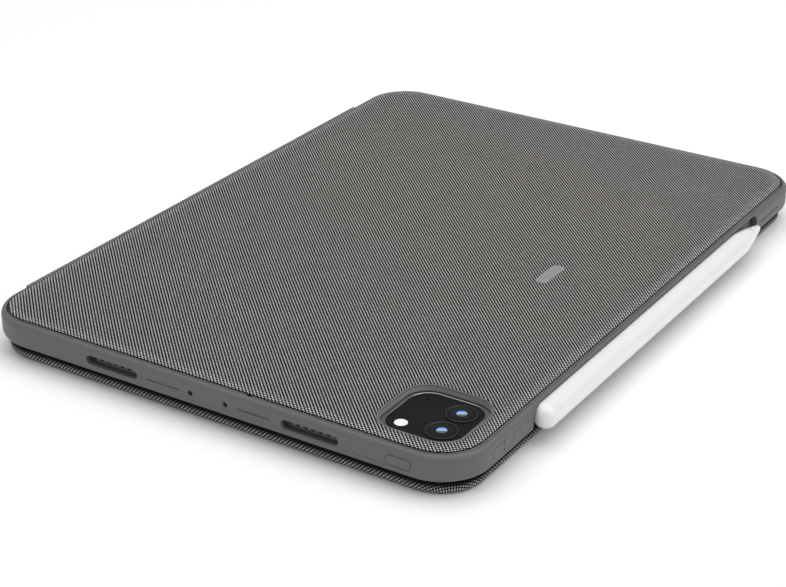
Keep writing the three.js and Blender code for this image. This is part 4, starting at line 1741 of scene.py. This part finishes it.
@dataclass
class Spine:
    """The woven strip that folds twice between the deck and the magnetic bar."""

    plan: Plan
    half_cloth: float = 0.45
    half_length: float = 99.6
    lower: tuple[float, float] = (92.4, 2.4)
    upper: tuple[float, float] = (95.1, 9.0)

    def ribbon(
        self, path: Section, name: str, bodies: tuple[str, str],
        replaced: Sequence[str],
    ) -> None:
        """Makes one stretch of the strip.

        Args:
            path: Its middle line as y and z.
            name: The piece's name.
            bodies: The two bodies that it lies between; it is attached to neither.
            replaced: CAD nodes that it stands for.
        """
        line = np.array(path)
        tangent = np.gradient(line, axis=0)
        tangent /= np.linalg.norm(tangent, axis=1)[:, None]
        side = np.column_stack([-tangent[:, 1], tangent[:, 0]]) * self.half_cloth
        run = np.concatenate([[0.0], np.cumsum(np.linalg.norm(np.diff(line, axis=0), axis=1))])
        ends = [self.half_length, self.half_length - 0.2]
        xs = np.concatenate([[-ends[0]], np.linspace(-ends[1], ends[1], 41), [ends[0]]])
        loops = []
        for x in xs:
            thin = 0.5 if abs(x) > ends[1] + 0.01 else 1.0
            around = np.concatenate([line + side * thin, (line - side * thin)[::-1]])
            loops.append(np.column_stack([np.full(len(around), x), around]))
        body = Solid.skinned(loops)
        points = body.points()
        nearest = np.abs(points[:, None, 1:] - line[None]).sum(axis=2).argmin(axis=1)
        weave = np.column_stack([points[:, 0], run[nearest], np.zeros(len(points))])
        piece = make_piece(name, body, CLOTH, bodies[0], replaced, smooth=60, weave=weave, ride=False)
        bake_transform(piece)

    def build(self) -> None:
        """Makes the strip's two stretches and the bar."""
        (y0, z0), (y1, z1) = self.lower, self.upper
        rise = np.linspace(0, 1, 15)
        start = [
            (88.6, z0), (89.6, z0), (90.6, z0), (91.3, z0), (91.8, z0 + 0.02), (92.15, z0 + 0.16), (92.45, z0 + 0.45),
        ]
        climb = [(y0 + (y1 - y0) * s, z0 + (z1 - z0) * s) for s in rise if 0.12 < s < 0.8]
        self.ribbon([*start, *climb], "spine_cloth", ("deck", "spine"), ["spine_strip"])
        on = [(y0 + (y1 - y0) * s, z0 + (z1 - z0) * s) for s in (0.77, 0.84, 0.9, 0.96)]
        over = [
            (95.10, 9.35), (95.04, 9.9), (94.88, 10.5), (94.68, 10.95), (94.35, 11.24), (93.8, 11.36),
            (93.1, 11.37), (92.5, 11.37), (92.2, 11.36),
        ]
        # This stretch is about 7.2 mm long. A sheet can't be declared shorter than 10 mm.
        self.ribbon([*on, *over], "spine_top_cloth", ("spine", "keyboard_bar"), [])
        self.build_bar()

    def build_bar(self) -> None:
        """Makes the bar that clings to the case."""
        low, high = span("spine_bar")
        inner, outer = float(low[1]), float(high[1])
        bottom, top, waist, shoulder = float(low[2]), float(high[2]), outer - 0.75, float(low[2]) + 1.8
        outline = [(inner, bottom + 0.3), (inner + 0.3, bottom), (waist - 0.3, bottom), (waist, bottom + 0.12),
                   (outer - 0.05, shoulder - 0.1), (outer, shoulder + 0.1), (outer, top - 0.3), (outer - 0.3, top),
                   (inner + 0.3, top), (inner, top - 0.3)]
        body = Solid.prism(np.array([(y, z) for y, z in outline]), Axis.X, float(low[0]), float(high[0]))
        pockets = []
        for side, _ in SIDES:
            a, b = span(f"spine_magnet_{side}")
            pockets.append(Solid.block((a[0] - 0.2, a[1] - 0.35, a[2] - 0.2), (b[0] + 0.2, b[1] + 0.05, b[2] + 0.2)))
        make_piece("spine_bar_core", body.worked(Cut.AWAY, *pockets), PLASTIC, "keyboard_bar", ["spine_bar"])


@dataclass
class Hidden:
    """Finishes for the CAD nodes that are shown as packed."""

    def build(self) -> None:
        """Gives each node that isn't replaced its finish."""
        finishes = {
            "deck_shell": PLASTIC, "deck_top_plate": PLASTIC, "connector_block": PLASTIC, "backlight_sheet": FILM,
            "switch_sheet": BOARD, "controller_board": BOARD, "trackpad_board": BOARD, "trackpad_switch": STEEL,
            "case_contacts": GOLD,
        }
        for name, node in frame["nodes"].items():
            if node.hide_render:
                continue
            finish = finishes.get(name) or (GOLD if name.startswith("contact_pin") else STEEL)
            for slot in node.material_slots:
                slot.material = finish.material()
            LOG.info("%s: as packed, %s", name, finish.name)


@dataclass
class Studio:
    """Floor, lights and camera."""

    place: Point = (-532.81, -326.00, 301.85)
    azimuth: float = -57.65
    elevation: float = 26.37
    roll: float = 0.12
    lens: float = 89.36

    def build(self) -> None:
        """Makes the floor, the lights and the camera."""
        self.build_floor()
        self.build_world()
        for name, at, size, power in (
            ("key", (0.15, -1.1, 1.15), (1.3, 1.3), 7.5),
            ("left", (-1.3, 0.25, 0.75), (1.2, 1.0), 0.9),
            ("top", (0.1, 0.1, 1.5), (1.8, 1.8), 16.0),
        ):
            self.light(name, Vector(at), size, power)
        self.build_camera()

    def build_floor(self) -> None:
        """Makes the floor, a wide disc just under the deck."""
        bm = bmesh.new()
        rings = [0.0, 0.5, 1.5, 4.0, 12.0]
        last: list[bmesh.types.BMVert] = []
        for radius in rings[1:]:
            ring = [bm.verts.new((radius * math.cos(a), radius * math.sin(a), -0.0001))
                    for a in (2 * math.pi * i / 64 for i in range(64))]
            if radius == rings[1]:
                bm.faces.new(ring)
            else:
                for i in range(64):
                    bm.faces.new((last[i], ring[i], ring[(i + 1) % 64], last[(i + 1) % 64]))
            last = ring
        mesh = bpy.data.meshes.new("floor")
        bm.to_mesh(mesh)
        bm.free()
        floor = bpy.data.objects.new("floor", mesh)
        bpy.context.scene.collection.objects.link(floor)
        mesh.materials.append(PaleFloor("pale_floor", "floor").material())

    def build_world(self) -> None:
        """Sets an even pale surround."""
        world = bpy.data.worlds.new("studio")
        bpy.context.scene.world = world
        world.use_nodes = True
        background = world.node_tree.nodes["Background"]
        background.inputs["Color"].default_value = (1, 1, 1, 1)
        background.inputs["Strength"].default_value = 0.45
        bpy.context.scene.view_settings.view_transform = "Standard"

    def light(self, name: str, at: Vector, size: tuple[float, float], power: float) -> None:
        """Adds a soft light that points at the object.

        Args:
            name: Its name.
            at: Its place in metres.
            size: Its width and height.
            power: Its power in watts.
        """
        data = bpy.data.lights.new(name, "AREA")
        data.shape = "RECTANGLE"
        data.size, data.size_y = size
        data.energy = power
        lamp = bpy.data.objects.new(name, data)
        lamp.location = at
        lamp.rotation_euler = (-at).to_track_quat("-Z", "Y").to_euler()
        bpy.context.scene.collection.objects.link(lamp)

    def build_camera(self) -> None:
        """Makes the camera and makes it the scene's."""
        a, e, r = (math.radians(v) for v in (self.azimuth, self.elevation, self.roll))
        back = Vector((math.sin(a) * math.cos(e), -math.cos(a) * math.cos(e), math.sin(e)))
        right = Vector((math.cos(a), math.sin(a), 0.0))
        up = back.cross(right)
        right, up = right * math.cos(r) + up * math.sin(r), up * math.cos(r) - right * math.sin(r)
        data = bpy.data.cameras.new("camera")
        data.lens = self.lens
        data.sensor_width = 36.0
        data.clip_start, data.clip_end = 0.01, 30.0
        camera = bpy.data.objects.new("camera", data)
        turn = Matrix((right, up, back)).transposed().to_4x4()
        camera.matrix_world = Matrix.Translation(Vector(self.place) / 1000) @ turn
        bpy.context.scene.collection.objects.link(camera)
        bpy.context.scene.camera = camera


def main() -> None:
    """Builds every sub-assembly in order."""
    logging.basicConfig(level=logging.INFO, format="%(name)s: %(message)s")
    plan = Plan()
    Studio().build()
    for part in (Deck(plan), Spine(plan), Tablet(plan), Bumper(plan), Back(plan), Stylus(plan), Hidden()):
        part.build()
        LOG.info("%s done", type(part).__name__)


if __name__ == "__main__":
    main()
